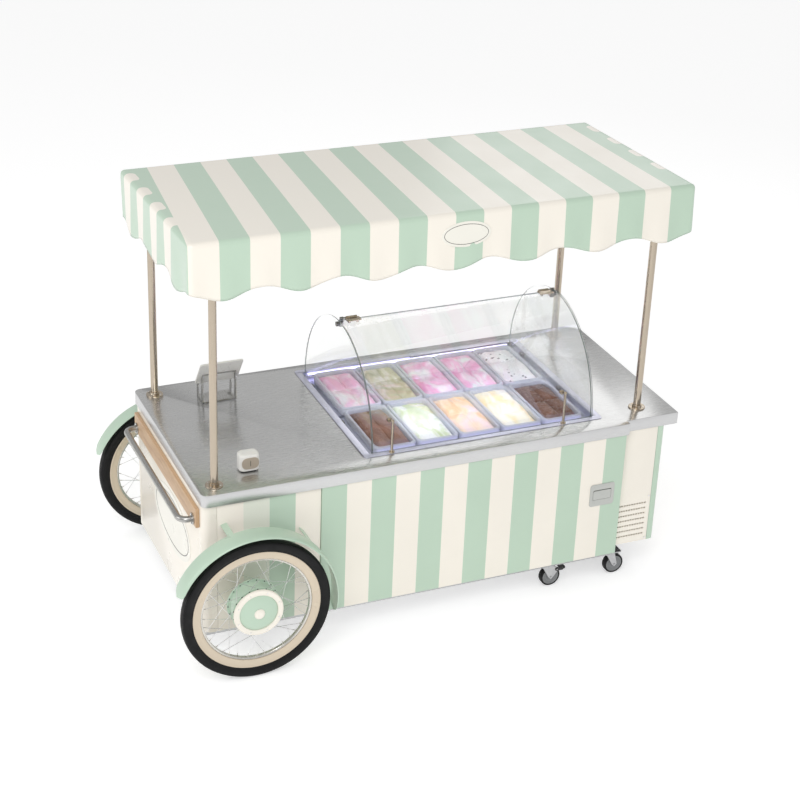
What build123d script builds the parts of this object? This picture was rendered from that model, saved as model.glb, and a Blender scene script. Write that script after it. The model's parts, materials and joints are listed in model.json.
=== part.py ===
from build123d import *
import math
import os

# Push vending cart for ice cream.
# X runs along the cart, with the big wheels and the push handle at the -X end.
# -Y is the customers' side and +Y the vendor's side. Z = 0 is the ground.

# ---------------------------------------------------------------- driving sizes, mm
# worktop
WORKTOP_LENGTH = 2310
WORKTOP_DEPTH = 1060
COUNTER_HEIGHT = 840
FASCIA = 58
WORKTOP_SHEET = 3
WORKTOP_CORNER = 30
STEP_LENGTH = 270        # the front edge is set back over this length at the right end
STEP_DEPTH = 30
CORNER_CUT = 60          # cut corner at the back right

# big wheels
TYRE_OD = 668
TYRE_WIDTH = 52
TYRE_SECTION = 47        # radial height of the tyre
RIM_DEPTH = 36           # radial depth of the painted rim
BAND_DEPTH = 11          # polished band inside the rim
WHEEL_SETBACK = 190      # axle behind the worktop's left end
WHEEL_STANDOFF = 140     # wheel centre plane outside the worktop's long edge
SPOKES = 36
SPOKE_R = 1.3
SPOKE_LEAN = 38          # spoke's foot round from its head, degrees
LACING = (9, 4.5)        # height and half width of the rings that hold the spokes' feet
DRUM_R = 105
DRUM_WALL = 5
DRUM_LENGTH = 92
HUB_RING_R = 112
HUB_FACE = 12
HUB_CAP_R = 22
SLEEVE_R = 22
AXLE_R = 12
AXLE_BEAM_R = 20
FENDER_GAP = 32
FENDER_SHEET = 3.5
FENDER_LIP = 7
FENDER_OVER = 12         # mudguard past the tyre's outer side
FENDER_BACK = 160        # mudguard's end over the handle side, degrees from +X
FENDER_FRONT = -13
FENDER_WIDTH = 92
FENDER_STAYS = (45, 105) # angles of the flat bars that hold it off the body
STAY = (28, 4)

# casters
CASTER_R = 50
CASTER_WIDTH = 30
CASTER_TREAD = 9
CASTER_TRAIL = 28
CASTER_HEIGHT = 130      # ground to chassis
CASTER_PLATE = (100, 84, 4)
CASTER_INSET = 50        # king pins inside the chassis side
CASTER_PITCH = 341       # the two king pins on one side
CASTER_END = -7          # outer king pin inside the main panel's right end
KING_PIN_R = 10
RACE_R = 26
RACE_DEPTH = 10
FORK_PLATE = 4
BRAKE_TURN = 18          # travel of a brake pedal, degrees

# body
BODY_INSET = 5           # main panel behind the worktop's edge
MAIN_PANEL_START = 538   # from the worktop's left end
MAIN_PANEL_T = 20
SIDE_RECESS = 6          # the other panels behind the main panel
PANEL_T = 14
VENT_PANEL_T = 12
PANEL_BOTTOM = 150
BAY_BOTTOM = 172         # underside of the right bay
PANEL_TUCK = 43          # panels rise this far behind the fascia
POST_SIZE = 62
POST_R = 40
STRIP_SIZE = 40
STRIP_R = 25
END_INSET = 4            # left end panel inside the worktop's end
BODY_OVERHANG = 57       # worktop past the body at the right end
SEAM = 1.5
FRAME_TUBE = 30
VENT_ROWS = 7
VENT_COLUMNS = 11
VENT_SLOT = (11, 8)
VENT_PITCH = (13.5, 28)
VENT_LOW = 212           # centre of the lowest row above the ground

# rear doors
DOOR_LEFT = 650          # from the worktop's left end
DOOR_WIDTH = 550
DOOR_BOTTOM = 200
DOOR_TOP = 745
DOOR_T = 18
HINGE_R = 6
HINGE_PIN_R = 3
HINGE_KNUCKLE = 40
HINGE_INSET = 90         # hinges from a door's top and bottom
DOOR_PULL = 160

# push handle
BOARD_LENGTH = 950
BOARD_HEIGHT = 90
BOARD_T = 18
BOARD_Z = 707
BAR_R = 14
BAR_WALL = 2
BAR_REACH = 74           # bar's centre line from the end panel
BAR_LENGTH = 870
BAR_BEND = 38
BAR_Z = 688
BAR_FLANGE_R = 26

# canopy
CANOPY_LENGTH = 2300
CANOPY_DEPTH = 1020
CANOPY_OVERHANG = 37     # past the worktop's left end
CANOPY_TOP = 1948        # top at the middle
CANOPY_TILT = 2.0        # falls towards the vendor, degrees
CANOPY_SKIN = 4
CANOPY_EDGE = 20
VALANCE = 232            # mean depth
SCALLOP = 20             # half the height of the waves
FRONT_SCALLOPS = 337
END_SCALLOPS = 330
CANOPY_TUBE = 25
CANOPY_CLEARANCE = 2

# poles
POLE_R = 17
POLE_WALL = 2
POLE_LEFT = 78           # from the worktop's left end
POLE_RIGHT = 160         # from its right end
POLE_Y = 450
POLE_STEP_BACK = 60      # the front right pole stands further in
FLANGE_R = 39
FLANGE_T = 6

# cold display
WELL_LEFT = 800          # well's inside from the worktop's left end
WELL_FRONT = 120         # well's inside from the front edge
WELL_SIZE = (1112, 854)
WELL_WALL = 2.5
WELL_FLANGE = 31
WELL_FLANGE_T = 3
WELL_DEPTH = 145
DECK_DROP = 28           # deck below the counter
PAN_COLUMNS = 5
PAN_ROWS = 2
PAN_PITCH = (208, 400)
PAN_GAP = 6
PAN_GRID_SHIFT = -6      # towards the customers
PAN_COLLAR = 38
PAN_DEPTH = 92
PAN_STEP = 8             # shoulder that rests on the deck
PAN_WALL = 6
PAN_CORNER = 28
PAN_CLEARANCE = 2
PAN_LIFT = 80
ICE_DOWN = 7             # ice cream below the rim

# glass hood
GLASS = 6
HOOD_HEIGHT = 451        # arch above the display flange
HOOD_SIDE = 12           # end glass from the well's side wall
HOOD_GAP = 0.5
HOOD_LIFT = 70           # degrees
ARCH_ARCS = 12           # arcs along the arch
LEG_INSET = (86, 156)    # left and right leg from the end glasses
LEG_R = 6
LEG_HEIGHT = 152
LEG_ARM = 38
HOOD_PIN_R = 3
HOOD_KNUCKLE_R = 6
HOOD_KNUCKLE = 52
HOOD_LEAF = (70, 36, 3)

# latch on the main panel
LATCH_SIZE = (126, 114)
LATCH_LEFT = 1326        # from the main panel's left end
LATCH_Z = 488
LATCH_T = 3
PADDLE = (92, 46, 3)
PADDLE_PIN_R = 2
PADDLE_TURN = 35
PADDLE_SWEEP = 4.5       # clear height over the paddle, for its top edge as it turns
POCKET_DEPTH = 16

# badge plaques
CANOPY_BADGE = (226, 112)
CANOPY_BADGE_X = 49      # from the canopy's middle
END_BADGE = (556, 290)
END_BADGE_AT = (-60, 465)
BADGE_T = 2.5

# things on the counter
TABLET = (205, 165, 9)
TABLET_LEAN = 35
TABLET_AT = (342, 300)   # middle from the worktop's left end, and y
STAND = (162, 92, 142)
STAND_BAR = (24, 4)
READER = (92, 66, 84)
READER_AT = (258, -362)

RUN = 0.05               # radial running clearance

# ---------------------------------------------------------------- places that follow
wheel_r = TYRE_OD / 2
fender_r = wheel_r + FENDER_GAP + FENDER_SHEET
fender_tip = -fender_r * math.cos(math.radians(min(FENDER_BACK, 180)))
handle_tip = BAR_REACH + BAR_R - END_INSET
nose = max(fender_tip - WHEEL_SETBACK, wheel_r - WHEEL_SETBACK, handle_tip)
x_right = (WORKTOP_LENGTH + nose) / 2
x_left = x_right - WORKTOP_LENGTH
y_edge = WORKTOP_DEPTH / 2

face_y = y_edge - BODY_INSET                  # outer face of the main panel
side_y = face_y - SIDE_RECESS                 # outer face of the other long panels
frame_y = face_y - MAIN_PANEL_T               # outer face of the chassis
step_x = x_right - STEP_LENGTH
bay_y = side_y - STEP_DEPTH + 8               # outer face of the vent panel
body_left = x_left + END_INSET
body_right = x_right - BODY_OVERHANG
main_x = x_left + MAIN_PANEL_START
main_end = step_x - 10
panel_top = COUNTER_HEIGHT - FASCIA + PANEL_TUCK
post_x = body_left + POST_SIZE
strip_x = body_right - STRIP_SIZE
under_top = COUNTER_HEIGHT - WORKTOP_SHEET

wheel_x = x_left + WHEEL_SETBACK
wheel_y = y_edge + WHEEL_STANDOFF
rim_r = wheel_r - TYRE_SECTION
band_r = rim_r - RIM_DEPTH
drum_y = wheel_y - DRUM_LENGTH + 28           # drum's inner face
lacing_y = (drum_y - wheel_y + 8, drum_y - wheel_y + DRUM_LENGTH - 12)

king_x = (main_end - CASTER_END - CASTER_PITCH, main_end - CASTER_END)
king_y = frame_y - CASTER_INSET

door_x = x_left + DOOR_LEFT
door_end = door_x + 2 * DOOR_WIDTH + 3 * SEAM
hinge_y = side_y + HINGE_R

well_x = x_left + WELL_LEFT
well_end = well_x + WELL_SIZE[0]
well_y = -y_edge + WELL_FRONT
well_back = well_y + WELL_SIZE[1]
well_mid_x = (well_x + well_end) / 2
well_mid_y = (well_y + well_back) / 2
deck_z = COUNTER_HEIGHT - DECK_DROP
flange_z = COUNTER_HEIGHT + WELL_FLANGE_T
pan_grid_y = well_mid_y + PAN_GRID_SHIFT
pan_size = (PAN_PITCH[0] - PAN_GAP, PAN_PITCH[1] - PAN_GAP)
pan_body = (pan_size[0] - 2 * PAN_STEP, pan_size[1] - 2 * PAN_STEP)
pan_top = deck_z + PAN_COLLAR

hood_y = well_mid_y
hood_a = WELL_SIZE[1] / 2 - 2
hood_b = HOOD_HEIGHT
hood_x = (well_x + HOOD_SIDE, well_end - HOOD_SIDE)
sheet_a = hood_a + HOOD_GAP
sheet_b = hood_b + HOOD_GAP
hood_pin = (hood_y + 8, flange_z + sheet_b + GLASS + 3)

pole_xs = (x_left + POLE_LEFT, x_right - POLE_RIGHT)
pole_feet = [(pole_xs[0], -POLE_Y), (pole_xs[0], POLE_Y),
             (pole_xs[1], -POLE_Y + POLE_STEP_BACK), (pole_xs[1], POLE_Y)]

canopy_x = x_left - CANOPY_OVERHANG + CANOPY_LENGTH / 2
inner_x = CANOPY_LENGTH / 2 - CANOPY_SKIN - CANOPY_CLEARANCE
inner_y = CANOPY_DEPTH / 2 - CANOPY_SKIN - CANOPY_CLEARANCE
tube_top = -CANOPY_SKIN - CANOPY_CLEARANCE    # canopy's own frame, top at z = 0

latch_x = main_x + LATCH_LEFT + LATCH_SIZE[0] / 2
paddle_pin = (-face_y + 4.5, LATCH_Z + PADDLE[1] / 2 - 6)


# ---------------------------------------------------------------- helpers
def save(name, *shapes):
    """Write every solid of the shapes to one STEP file named after the node."""
    solids = [solid for shape in shapes for solid in shape.solids()]
    export_step(Compound(children=solids), f"parts/{name}.step")


def block(x, y, z):
    """A box given by its (low, high) pairs."""
    size = [high - low for low, high in (x, y, z)]
    middle = [(low + high) / 2 for low, high in (x, y, z)]
    return Pos(*middle) * Box(*size)


def rod(start, end, radius, bore=0):
    """A round bar or tube from one point to another."""
    way = Vector(*end) - Vector(*start)
    plane = Plane(origin=start, z_dir=way)
    low = (Align.CENTER, Align.CENTER, Align.MIN)
    bar = Cylinder(radius, way.length, align=low)
    if bore:
        bar -= Cylinder(bore, way.length, align=low)
    return plane * bar


def slab(size, radius, z):
    """A flat plate with rounded corners about the origin, between two heights."""
    return Pos(0, 0, z[0]) * extrude(RectangleRounded(*size, radius), z[1] - z[0])


def turned(points, x, z):
    """A solid turned about an axle along +Y at x, z from (radius, y) points."""
    profile = Polyline(*[(r, 0, y) for r, y in points], close=True)
    ring = revolve(make_face(profile), Axis.Z)
    return Pos(x, 0, z) * Rot(-90, 0, 0) * ring


def mirror_y(shape):
    return mirror(shape, Plane.XZ)


# ---------------------------------------------------------------- big wheels
def tyre():
    """Turned tyre with a rounded tread, centred on the axle's origin, axle along +Y."""
    half = TYRE_WIDTH / 2
    seat = half - 8
    shoulder = wheel_r - 16
    outline = [Line((rim_r + 0.2, 0, -seat), (rim_r + 0.2, 0, seat)),
               ThreePointArc((rim_r + 0.2, 0, seat), (rim_r + 14, 0, half - 1), (shoulder, 0, half)),
               ThreePointArc((shoulder, 0, half), (wheel_r, 0, 0), (shoulder, 0, -half)),
               ThreePointArc((shoulder, 0, -half), (rim_r + 14, 0, 1 - half),
                             (rim_r + 0.2, 0, -seat))]
    ring = revolve(make_face(Wire(outline)), Axis.Z)
    return Pos(wheel_x, 0, wheel_r) * Rot(-90, 0, 0) * ring


def rim():
    """Painted rim with a polished band inside it."""
    wide, narrow = TYRE_WIDTH / 2 - 8, TYRE_WIDTH / 2 - 15
    return turned([(rim_r, -wide), (rim_r, wide), (rim_r - 12, wide), (band_r, narrow),
                   (band_r, -narrow), (rim_r - 12, -wide)], wheel_x, wheel_r)


def band():
    """Polished band inside the rim."""
    inner = band_r - BAND_DEPTH
    half = TYRE_WIDTH / 2 - 17
    return turned([(inner, -half), (inner, half), (band_r - 0.2, half), (band_r - 0.2, -half)],
                  wheel_x, wheel_r)


def lacing_rings():
    """Two rings on the drum that hold the spokes' feet."""
    low, high = DRUM_R + 0.2, DRUM_R + LACING[0]
    return [turned([(low, y - LACING[1]), (low, y + LACING[1]), (high, y + LACING[1]),
                    (high, y - LACING[1])], wheel_x, wheel_r) for y in lacing_y]


def spokes():
    """Crossed wire spokes between the lacing rings and the band."""
    anchors = [band(), *lacing_rings()]
    foot_r, head_r = DRUM_R + 0.6 * LACING[0], band_r - 0.6 * BAND_DEPTH
    wires = []
    for i in range(SPOKES):
        way = 1 if i // 2 % 2 else -1
        aside = way * 1.5 * SPOKE_R
        at_rim = 2 * math.pi * i / SPOKES
        at_drum = at_rim + way * math.radians(SPOKE_LEAN)
        foot = (wheel_x + foot_r * math.cos(at_drum), lacing_y[i % 2] + aside,
                wheel_r + foot_r * math.sin(at_drum))
        head = (wheel_x + head_r * math.cos(at_rim), aside, wheel_r + head_r * math.sin(at_rim))
        wire = rod(foot, head, SPOKE_R)
        for anchor in anchors:
            wire -= anchor
        wires.append(wire)
    return wires


def hub():
    """Drum on a bored sleeve, and its front: ring, dome and centre cap."""
    low = drum_y - wheel_y
    high = low + DRUM_LENGTH
    bore = AXLE_R + RUN
    drum = turned([(bore, low), (bore, high - 8), (SLEEVE_R, high - 8), (SLEEVE_R, low + 6),
                   (DRUM_R - DRUM_WALL, low + 6), (DRUM_R - DRUM_WALL, high), (DRUM_R, high),
                   (DRUM_R, low)], wheel_x, wheel_r)
    ring_in = HUB_RING_R - 26
    ring = turned([(0, high), (HUB_RING_R, high), (HUB_RING_R, high + 6),
                   (HUB_RING_R - 4, high + HUB_FACE), (ring_in, high + HUB_FACE - 2),
                   (ring_in, high + 4), (0, high + 4)], wheel_x, wheel_r)
    edge = ring_in - 0.2
    dome = turned([(0, high + 4), (edge, high + 4), (edge, high + 6), (edge - 20, high + 14),
                   (HUB_CAP_R + 6, high + 19), (HUB_CAP_R, high + 19), (0, high + 19)],
                  wheel_x, wheel_r)
    cap = turned([(0, high + 19), (HUB_CAP_R, high + 19), (HUB_CAP_R, high + 24),
                  (HUB_CAP_R - 5, high + 28), (0, high + 29)], wheel_x, wheel_r)
    return [drum, ring, dome, cap]


def fender(side):
    """Mudguard band with a rolled outer lip and two stays; side is -1 for the customers' side."""
    inner = fender_r - FENDER_SHEET
    end = wheel_y + TYRE_WIDTH / 2 + FENDER_OVER
    start = end - FENDER_WIDTH
    band = turned([(inner, start), (fender_r, start), (fender_r, end), (inner - FENDER_LIP, end),
                   (inner - FENDER_LIP, end - 3), (inner, end - 3)], wheel_x, wheel_r)
    far = fender_r * 2
    low, high = math.radians(FENDER_FRONT), math.radians(FENDER_BACK)
    steps = [low + (high - low) * i / 6 for i in range(7)]
    sector = Polyline((0, 0), *[(far * math.cos(a), far * math.sin(a)) for a in steps], close=True)
    wedge = Plane((wheel_x, 0, wheel_r), x_dir=(1, 0, 0), z_dir=(0, -1, 0)) * make_face(sector)
    arch = band & extrude(wedge, 2 * y_edge, both=True)
    width, thick = STAY
    stay = block((inner - thick, inner), (side_y, start + FENDER_WIDTH / 2), (-width / 2, width / 2))
    for angle in FENDER_STAYS:
        arch += Pos(wheel_x, 0, wheel_r) * Rot(0, -angle, 0) * stay
    return arch if side > 0 else mirror_y(arch)


def axle():
    """Beam across the chassis with a turned stub for each wheel."""
    stub = drum_y + DRUM_LENGTH - 9
    shoulder = drum_y - 1.5
    points = [(0, -stub), (AXLE_R, -stub), (AXLE_R, -shoulder), (AXLE_BEAM_R, -shoulder),
              (AXLE_BEAM_R, shoulder), (AXLE_R, shoulder), (AXLE_R, stub), (0, stub)]
    return turned(points, wheel_x, wheel_r)


def big_wheels():
    """The customers' side wheel is the vendor's side wheel mirrored."""
    pieces = {"tyre": [tyre()], "rim": [rim(), band(), *lacing_rings()], "spokes": spokes(),
              "hub": hub()}
    for piece, solids in pieces.items():
        placed = [Pos(0, wheel_y, 0) * solid for solid in solids]
        save(f"back_wheel_{piece}", *placed)
        save(f"front_wheel_{piece}", *[mirror_y(solid) for solid in placed])


# ---------------------------------------------------------------- casters
def caster_plate(x, y):
    """Top plate with the race housing, bored for the king pin."""
    length, width, thick = CASTER_PLATE
    plate = Pos(x, y, 0) * slab((length, width), 10, (CASTER_HEIGHT - thick, CASTER_HEIGHT))
    low = CASTER_HEIGHT - thick - RACE_DEPTH
    plate += rod((x, y, low), (x, y, CASTER_HEIGHT - thick), RACE_R)
    return plate - rod((x, y, low), (x, y, CASTER_HEIGHT), KING_PIN_R + RUN)


def pedal_pivot(x):
    return x + CASTER_TRAIL + 27, CASTER_HEIGHT - 41


def caster_fork(x, y, braked):
    """Fork with king pin, two trailing legs and the axle bolt; a braked one has pedal pins."""
    crown_top = CASTER_HEIGHT - CASTER_PLATE[2] - RACE_DEPTH - 0.5
    crown_low = 2 * CASTER_R + 5
    gap = CASTER_WIDTH / 2 + 2
    out = gap + FORK_PLATE
    fork = rod((x, y, crown_low), (x, y, crown_top), RACE_R)
    fork += rod((x, y, crown_top), (x, y, CASTER_HEIGHT - 1), KING_PIN_R)
    axle_x = x + CASTER_TRAIL
    pin_x, pin_z = pedal_pivot(x)
    lobe = [(pin_x + 8, pin_z + 8), (pin_x + 8, pin_z - 8)] if braked else []
    leg = Polyline((x - 22, crown_top), (x + 24, crown_top), *lobe, (axle_x + 13, CASTER_R),
                   (axle_x, CASTER_R - 13), (axle_x - 13, CASTER_R), close=True)
    side = Plane((0, 0, 0), x_dir=(1, 0, 0), z_dir=(0, -1, 0)) * make_face(leg)
    for low in (gap, -out):
        fork += Pos(0, y + low + FORK_PLATE, 0) * extrude(side, FORK_PLATE)
    fork += block((x - 18, x + 18), (y - out, y + out), (crown_low, crown_top))
    ends = y + out + 5
    fork += rod((axle_x, 2 * y - ends, CASTER_R), (axle_x, ends, CASTER_R), 5)
    if braked:
        for way in (-1, 1):
            fork += rod((pin_x, y + way * gap, pin_z), (pin_x, y + way * (out + 6), pin_z), 3)
    return fork


def caster_wheel(x, y):
    """Tread on a dished core, bored for the axle bolt."""
    half = CASTER_WIDTH / 2
    core_r = CASTER_R - CASTER_TREAD
    axle_x = x + CASTER_TRAIL
    tread = turned([(core_r + 0.1, -half), (core_r + 0.1, half), (CASTER_R - 3, half),
                    (CASTER_R, half - 4), (CASTER_R, 4 - half), (CASTER_R - 3, -half)],
                   axle_x, CASTER_R)
    core = turned([(5 + RUN, -half - 1), (5 + RUN, half + 1), (14, half + 1), (18, half - 5),
                   (core_r - 8, half - 5), (core_r - 4, half - 1), (core_r, half - 1),
                   (core_r, 1 - half), (core_r - 4, 1 - half), (core_r - 8, 5 - half),
                   (18, 5 - half), (14, -half - 1)], axle_x, CASTER_R)
    return [Pos(0, y, 0) * tread, Pos(0, y, 0) * core]


def brake_pedal(x, y):
    """Foot pedal with an arm on each of the fork's pedal pins."""
    pin_x, pin_z = pedal_pivot(x)
    near = CASTER_WIDTH / 2 + 2 + FORK_PLATE + 0.5
    far = near + 4
    pad = block((pin_x + 18, pin_x + 46), (y - far, y + far), (pin_z - 3, pin_z + 5))
    pedal = fillet(pad.edges().filter_by(Axis.Z).group_by(Axis.X)[-1], 8)
    for low in (y - far, y + near):
        arm = block((pin_x - 8, pin_x + 34), (low, low + 4), (pin_z - 8, pin_z + 8))
        pedal += fillet(arm.edges().filter_by(Axis.Y), 6)
    return pedal - rod((pin_x, y - far, pin_z), (pin_x, y + far, pin_z), 3 + RUN)


def casters():
    """Four casters; the inner one of each pair has a brake pedal."""
    places = [(x, y) for y in (-king_y, king_y) for x in king_x]
    for number, (x, y) in enumerate(places, start=1):
        braked = x == king_x[0]
        save(f"caster_fork_{number}", caster_fork(x, y, braked))
        save(f"caster_wheel_{number}", *caster_wheel(x, y))
        if braked:
            save(f"brake_pedal_{number}", brake_pedal(x, y))
    save("caster_plates", *[caster_plate(x, y) for x, y in places])


# ---------------------------------------------------------------- chassis and panels
def chassis_frame():
    """Profile frame: lower ring, raised lower ring of the right bay, uprights and top ring."""
    t = FRAME_TUBE
    left, right, bay_end = body_left + PANEL_T, main_end, body_right - PANEL_T
    low = (CASTER_HEIGHT, CASTER_HEIGHT + t)
    bay = (BAY_BOTTOM, BAY_BOTTOM + t)
    top = (under_top - t, under_top)
    inside = bay_y - VENT_PANEL_T
    frame = block((left, right), (-frame_y, -frame_y + t), low)
    frame += block((left, right), (frame_y - t, frame_y), low)
    for x in (left, door_x - t, king_x[0] - t / 2, right - t):
        frame += block((x, x + t), (-frame_y, frame_y), low)
    for x in (right, bay_end - t):
        frame += block((x, x + t), (-inside, frame_y), bay)
    for y in ((-inside, -inside + t), (frame_y - t, frame_y)):
        frame += block((right - t, bay_end), y, bay)
    for x in (left, door_x - t, door_end, right - t):
        for y in ((-frame_y, -frame_y + t), (frame_y - t, frame_y)):
            frame += block((x, x + t), y, (low[0], top[1]))
    for y in ((-inside, -inside + t), (frame_y - t, frame_y)):
        frame += block((bay_end - t, bay_end), y, (bay[0], top[1]))
    frame += block((left, right), (-frame_y, -frame_y + t), top)
    frame += block((right - t, bay_end), (-inside, -inside + t), top)
    frame += block((left, bay_end), (frame_y - t, frame_y), top)
    for x in (left, door_x - t, bay_end - t):
        front = -inside if x > right else -frame_y
        frame += block((x, x + t), (front, frame_y), top)
    hanger = (wheel_x - 35, wheel_x + 35)
    for y in (-frame_y, frame_y - t):
        frame += block(hanger, (y, y + t), (low[1], wheel_r + 45))
    return frame - rod((wheel_x, -frame_y, wheel_r), (wheel_x, frame_y, wheel_r), AXLE_BEAM_R + RUN)


def floor_pan():
    """Sheet floor on the cross members of the lower ring, between the uprights."""
    z = CASTER_HEIGHT + FRAME_TUBE
    inner = frame_y - FRAME_TUBE - 2
    return block((body_left + PANEL_T + 2, main_end - 2), (-inner, inner), (z, z + 3))


def front_panel():
    """Proud main panel: a backing board, and four face boards that frame the latch's pocket."""
    inner_y = -face_y + POCKET_DEPTH
    pocket_x = (latch_x - PADDLE[0] / 2 - 7, latch_x + PADDLE[0] / 2 + 7)
    pocket_z = (LATCH_Z - PADDLE[1] / 2 - 6, LATCH_Z + PADDLE[1] / 2 + 6)
    boards = [block((main_x, main_end), (inner_y, -frame_y), (PANEL_BOTTOM, panel_top))]
    for x in ((main_x, pocket_x[0]), (pocket_x[1], main_end)):
        board = block(x, (-face_y, inner_y), (PANEL_BOTTOM, panel_top))
        edges = board.edges().filter_by(Axis.Z).group_by(Axis.Y)[0].sort_by(Axis.X)
        boards.append(fillet(edges[0] if x[0] == main_x else edges[-1], 3))
    for z in ((PANEL_BOTTOM, pocket_z[0]), (pocket_z[1], panel_top)):
        boards.append(block(pocket_x, (-face_y, inner_y), z))
    return boards


def front_left_panel():
    """Panel behind the front wheel, with a hole for the axle beam."""
    panel = block((post_x + SEAM, main_x - SEAM), (-side_y, -frame_y), (PANEL_BOTTOM, panel_top))
    return panel - axle_hole()


def axle_hole():
    return rod((wheel_x, -y_edge, wheel_r), (wheel_x, y_edge, wheel_r), AXLE_BEAM_R + 3)


def vent_panel():
    """Recessed panel of the right bay with rows of small slots."""
    x = (main_end + SEAM, strip_x - SEAM)
    panel = block(x, (-bay_y, -bay_y + VENT_PANEL_T), (BAY_BOTTOM, panel_top))
    start = x[0] + 18
    for row in range(VENT_ROWS):
        for column in range(VENT_COLUMNS):
            slot_x = start + column * VENT_PITCH[0]
            slot_z = VENT_LOW + row * VENT_PITCH[1]
            panel -= block((slot_x - VENT_SLOT[0] / 2, slot_x + VENT_SLOT[0] / 2),
                           (-bay_y, -bay_y + VENT_PANEL_T),
                           (slot_z - VENT_SLOT[1] / 2, slot_z + VENT_SLOT[1] / 2))
    return panel


def end_panels():
    left = block((body_left, body_left + PANEL_T),
                 (-side_y + POST_SIZE + SEAM, side_y - POST_SIZE - SEAM), (PANEL_BOTTOM, panel_top))
    right = block((body_right - PANEL_T, body_right),
                  (-bay_y + STRIP_SIZE + SEAM, side_y - STRIP_SIZE - SEAM),
                  (BAY_BOTTOM, panel_top))
    return [left, right]


def corner_post(corner, size, radius, bottom, wall):
    """Upright post with one rounded corner and a hollow back; corner gives x, y and their signs."""
    x, y, sx, sy = corner
    xs = sorted((x, x - sx * size))
    ys = sorted((y, y - sy * size))
    post = block(xs, ys, (bottom, panel_top))
    edge = [e for e in post.edges().filter_by(Axis.Z)
            if abs(e.center().X - x) < 0.1 and abs(e.center().Y - y) < 0.1]
    post = fillet(edge, radius)
    inner_x = sorted((x - sx * wall, x - sx * (size + 1)))
    inner_y = sorted((y - sy * wall, y - sy * (size + 1)))
    core = block(inner_x, inner_y, (bottom - 1, panel_top + 1))
    return post - core


def corner_posts():
    return [corner_post((body_left, -side_y, -1, -1), POST_SIZE, POST_R, PANEL_BOTTOM, PANEL_T),
            corner_post((body_left, side_y, -1, 1), POST_SIZE, POST_R, PANEL_BOTTOM, PANEL_T),
            corner_post((body_right, -bay_y, 1, -1), STRIP_SIZE, STRIP_R, BAY_BOTTOM, VENT_PANEL_T),
            corner_post((body_right, side_y, 1, 1), STRIP_SIZE, STRIP_R, BAY_BOTTOM, PANEL_T)]


def rear_panels():
    """Fixed panels beside the doors, sill and header, with the hinges' fixed knuckles and pins."""
    y = (frame_y, side_y)
    x = (post_x + SEAM, door_x)
    left = block(x, y, (PANEL_BOTTOM, panel_top)) - axle_hole()
    split = main_end
    right = block((door_end, split), y, (PANEL_BOTTOM, panel_top))
    right += block((split, strip_x - SEAM), y, (BAY_BOTTOM, panel_top))
    sill = block((door_x + SEAM, door_end - SEAM), y, (PANEL_BOTTOM, DOOR_BOTTOM - SEAM))
    header = block((door_x + SEAM, door_end - SEAM), y, (DOOR_TOP + SEAM, panel_top))
    return [left, right, sill, header] + fixed_hinges()


def hinge_places():
    return [(x, way, z) for x, way in ((door_x + SEAM / 2, 1), (door_end - SEAM / 2, -1))
            for z in (DOOR_BOTTOM + HINGE_INSET, DOOR_TOP - HINGE_INSET)]


def fixed_hinges():
    """Leaf on the fixed panel, the two outer knuckles and the pin."""
    hinges = []
    for x, way, z in hinge_places():
        half = HINGE_KNUCKLE / 2
        leaf = block(sorted((x - way * 30, x - way)), (side_y, side_y + 2),
                     (z - 3 * half, z + 3 * half))
        for low in (z - 3 * half, z + half):
            leaf += rod((x, hinge_y, low), (x, hinge_y, low + 2 * half), HINGE_R)
        leaf -= block(sorted((x, x + way * 8)), (side_y - 2, side_y + 2.5), (z - 4 * half, z + 4 * half))
        leaf -= rod((x, hinge_y, z - half), (x, hinge_y, z + half), HINGE_R + 0.5)
        hinges.append(leaf + rod((x, hinge_y, z - 3 * half), (x, hinge_y, z + 3 * half),
                                 HINGE_PIN_R))
    return hinges


def rear_door(number):
    """Door panel, its two hinge leaves with the middle knuckles, and a bow pull."""
    start = door_x + SEAM + number * (DOOR_WIDTH + SEAM)
    x = (start, start + DOOR_WIDTH)
    panel = block(x, (side_y - DOOR_T, side_y), (DOOR_BOTTOM, DOOR_TOP))
    solids = [panel]
    for at, way, z in hinge_places()[2 * number:2 * number + 2]:
        half = HINGE_KNUCKLE / 2 - 0.5
        leaf = block(sorted((at + way * 1.5, at + way * 32)), (side_y, side_y + 2),
                     (z - half, z + half))
        leaf += rod((at, hinge_y, z - half), (at, hinge_y, z + half), HINGE_R)
        leaf -= block(sorted((at, at - way * 8)), (side_y - 2, side_y + 2.5), (z - half, z + half))
        solids.append(leaf - rod((at, hinge_y, z - half), (at, hinge_y, z + half),
                                 HINGE_PIN_R + RUN))
    pull_x = x[1] - 45 if number == 0 else x[0] + 45
    middle = (DOOR_BOTTOM + DOOR_TOP) / 2
    ends = (middle - DOOR_PULL / 2, middle + DOOR_PULL / 2)
    reach = side_y + 34
    path = FilletPolyline((pull_x, side_y, ends[0]), (pull_x, reach, ends[0]),
                          (pull_x, reach, ends[1]), (pull_x, side_y, ends[1]), radius=14)
    section = Plane((pull_x, side_y, ends[0]), z_dir=(0, 1, 0)) * Circle(6)
    solids.append(sweep(section, path))
    return solids


# ---------------------------------------------------------------- worktop and poles
def worktop_outline(inset):
    """Outline of the worktop, drawn in by an inset, with the step and the cut corner."""
    left, right = x_left + inset, x_right - inset
    front, back = -y_edge + inset, y_edge - inset
    step = step_x + (-inset if inset else 0)
    cut = CORNER_CUT - inset * (2 - math.sqrt(2))
    points = [(left, front), (step, front), (step, front + STEP_DEPTH), (right, front + STEP_DEPTH),
              (right, back - cut), (right - cut, back), (left, back)]
    return make_face(Polyline(*points, close=True))


def round_left(solid, radius):
    edges = solid.edges().filter_by(Axis.Z).group_by(Axis.X)[0]
    return fillet(edges, radius)


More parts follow.
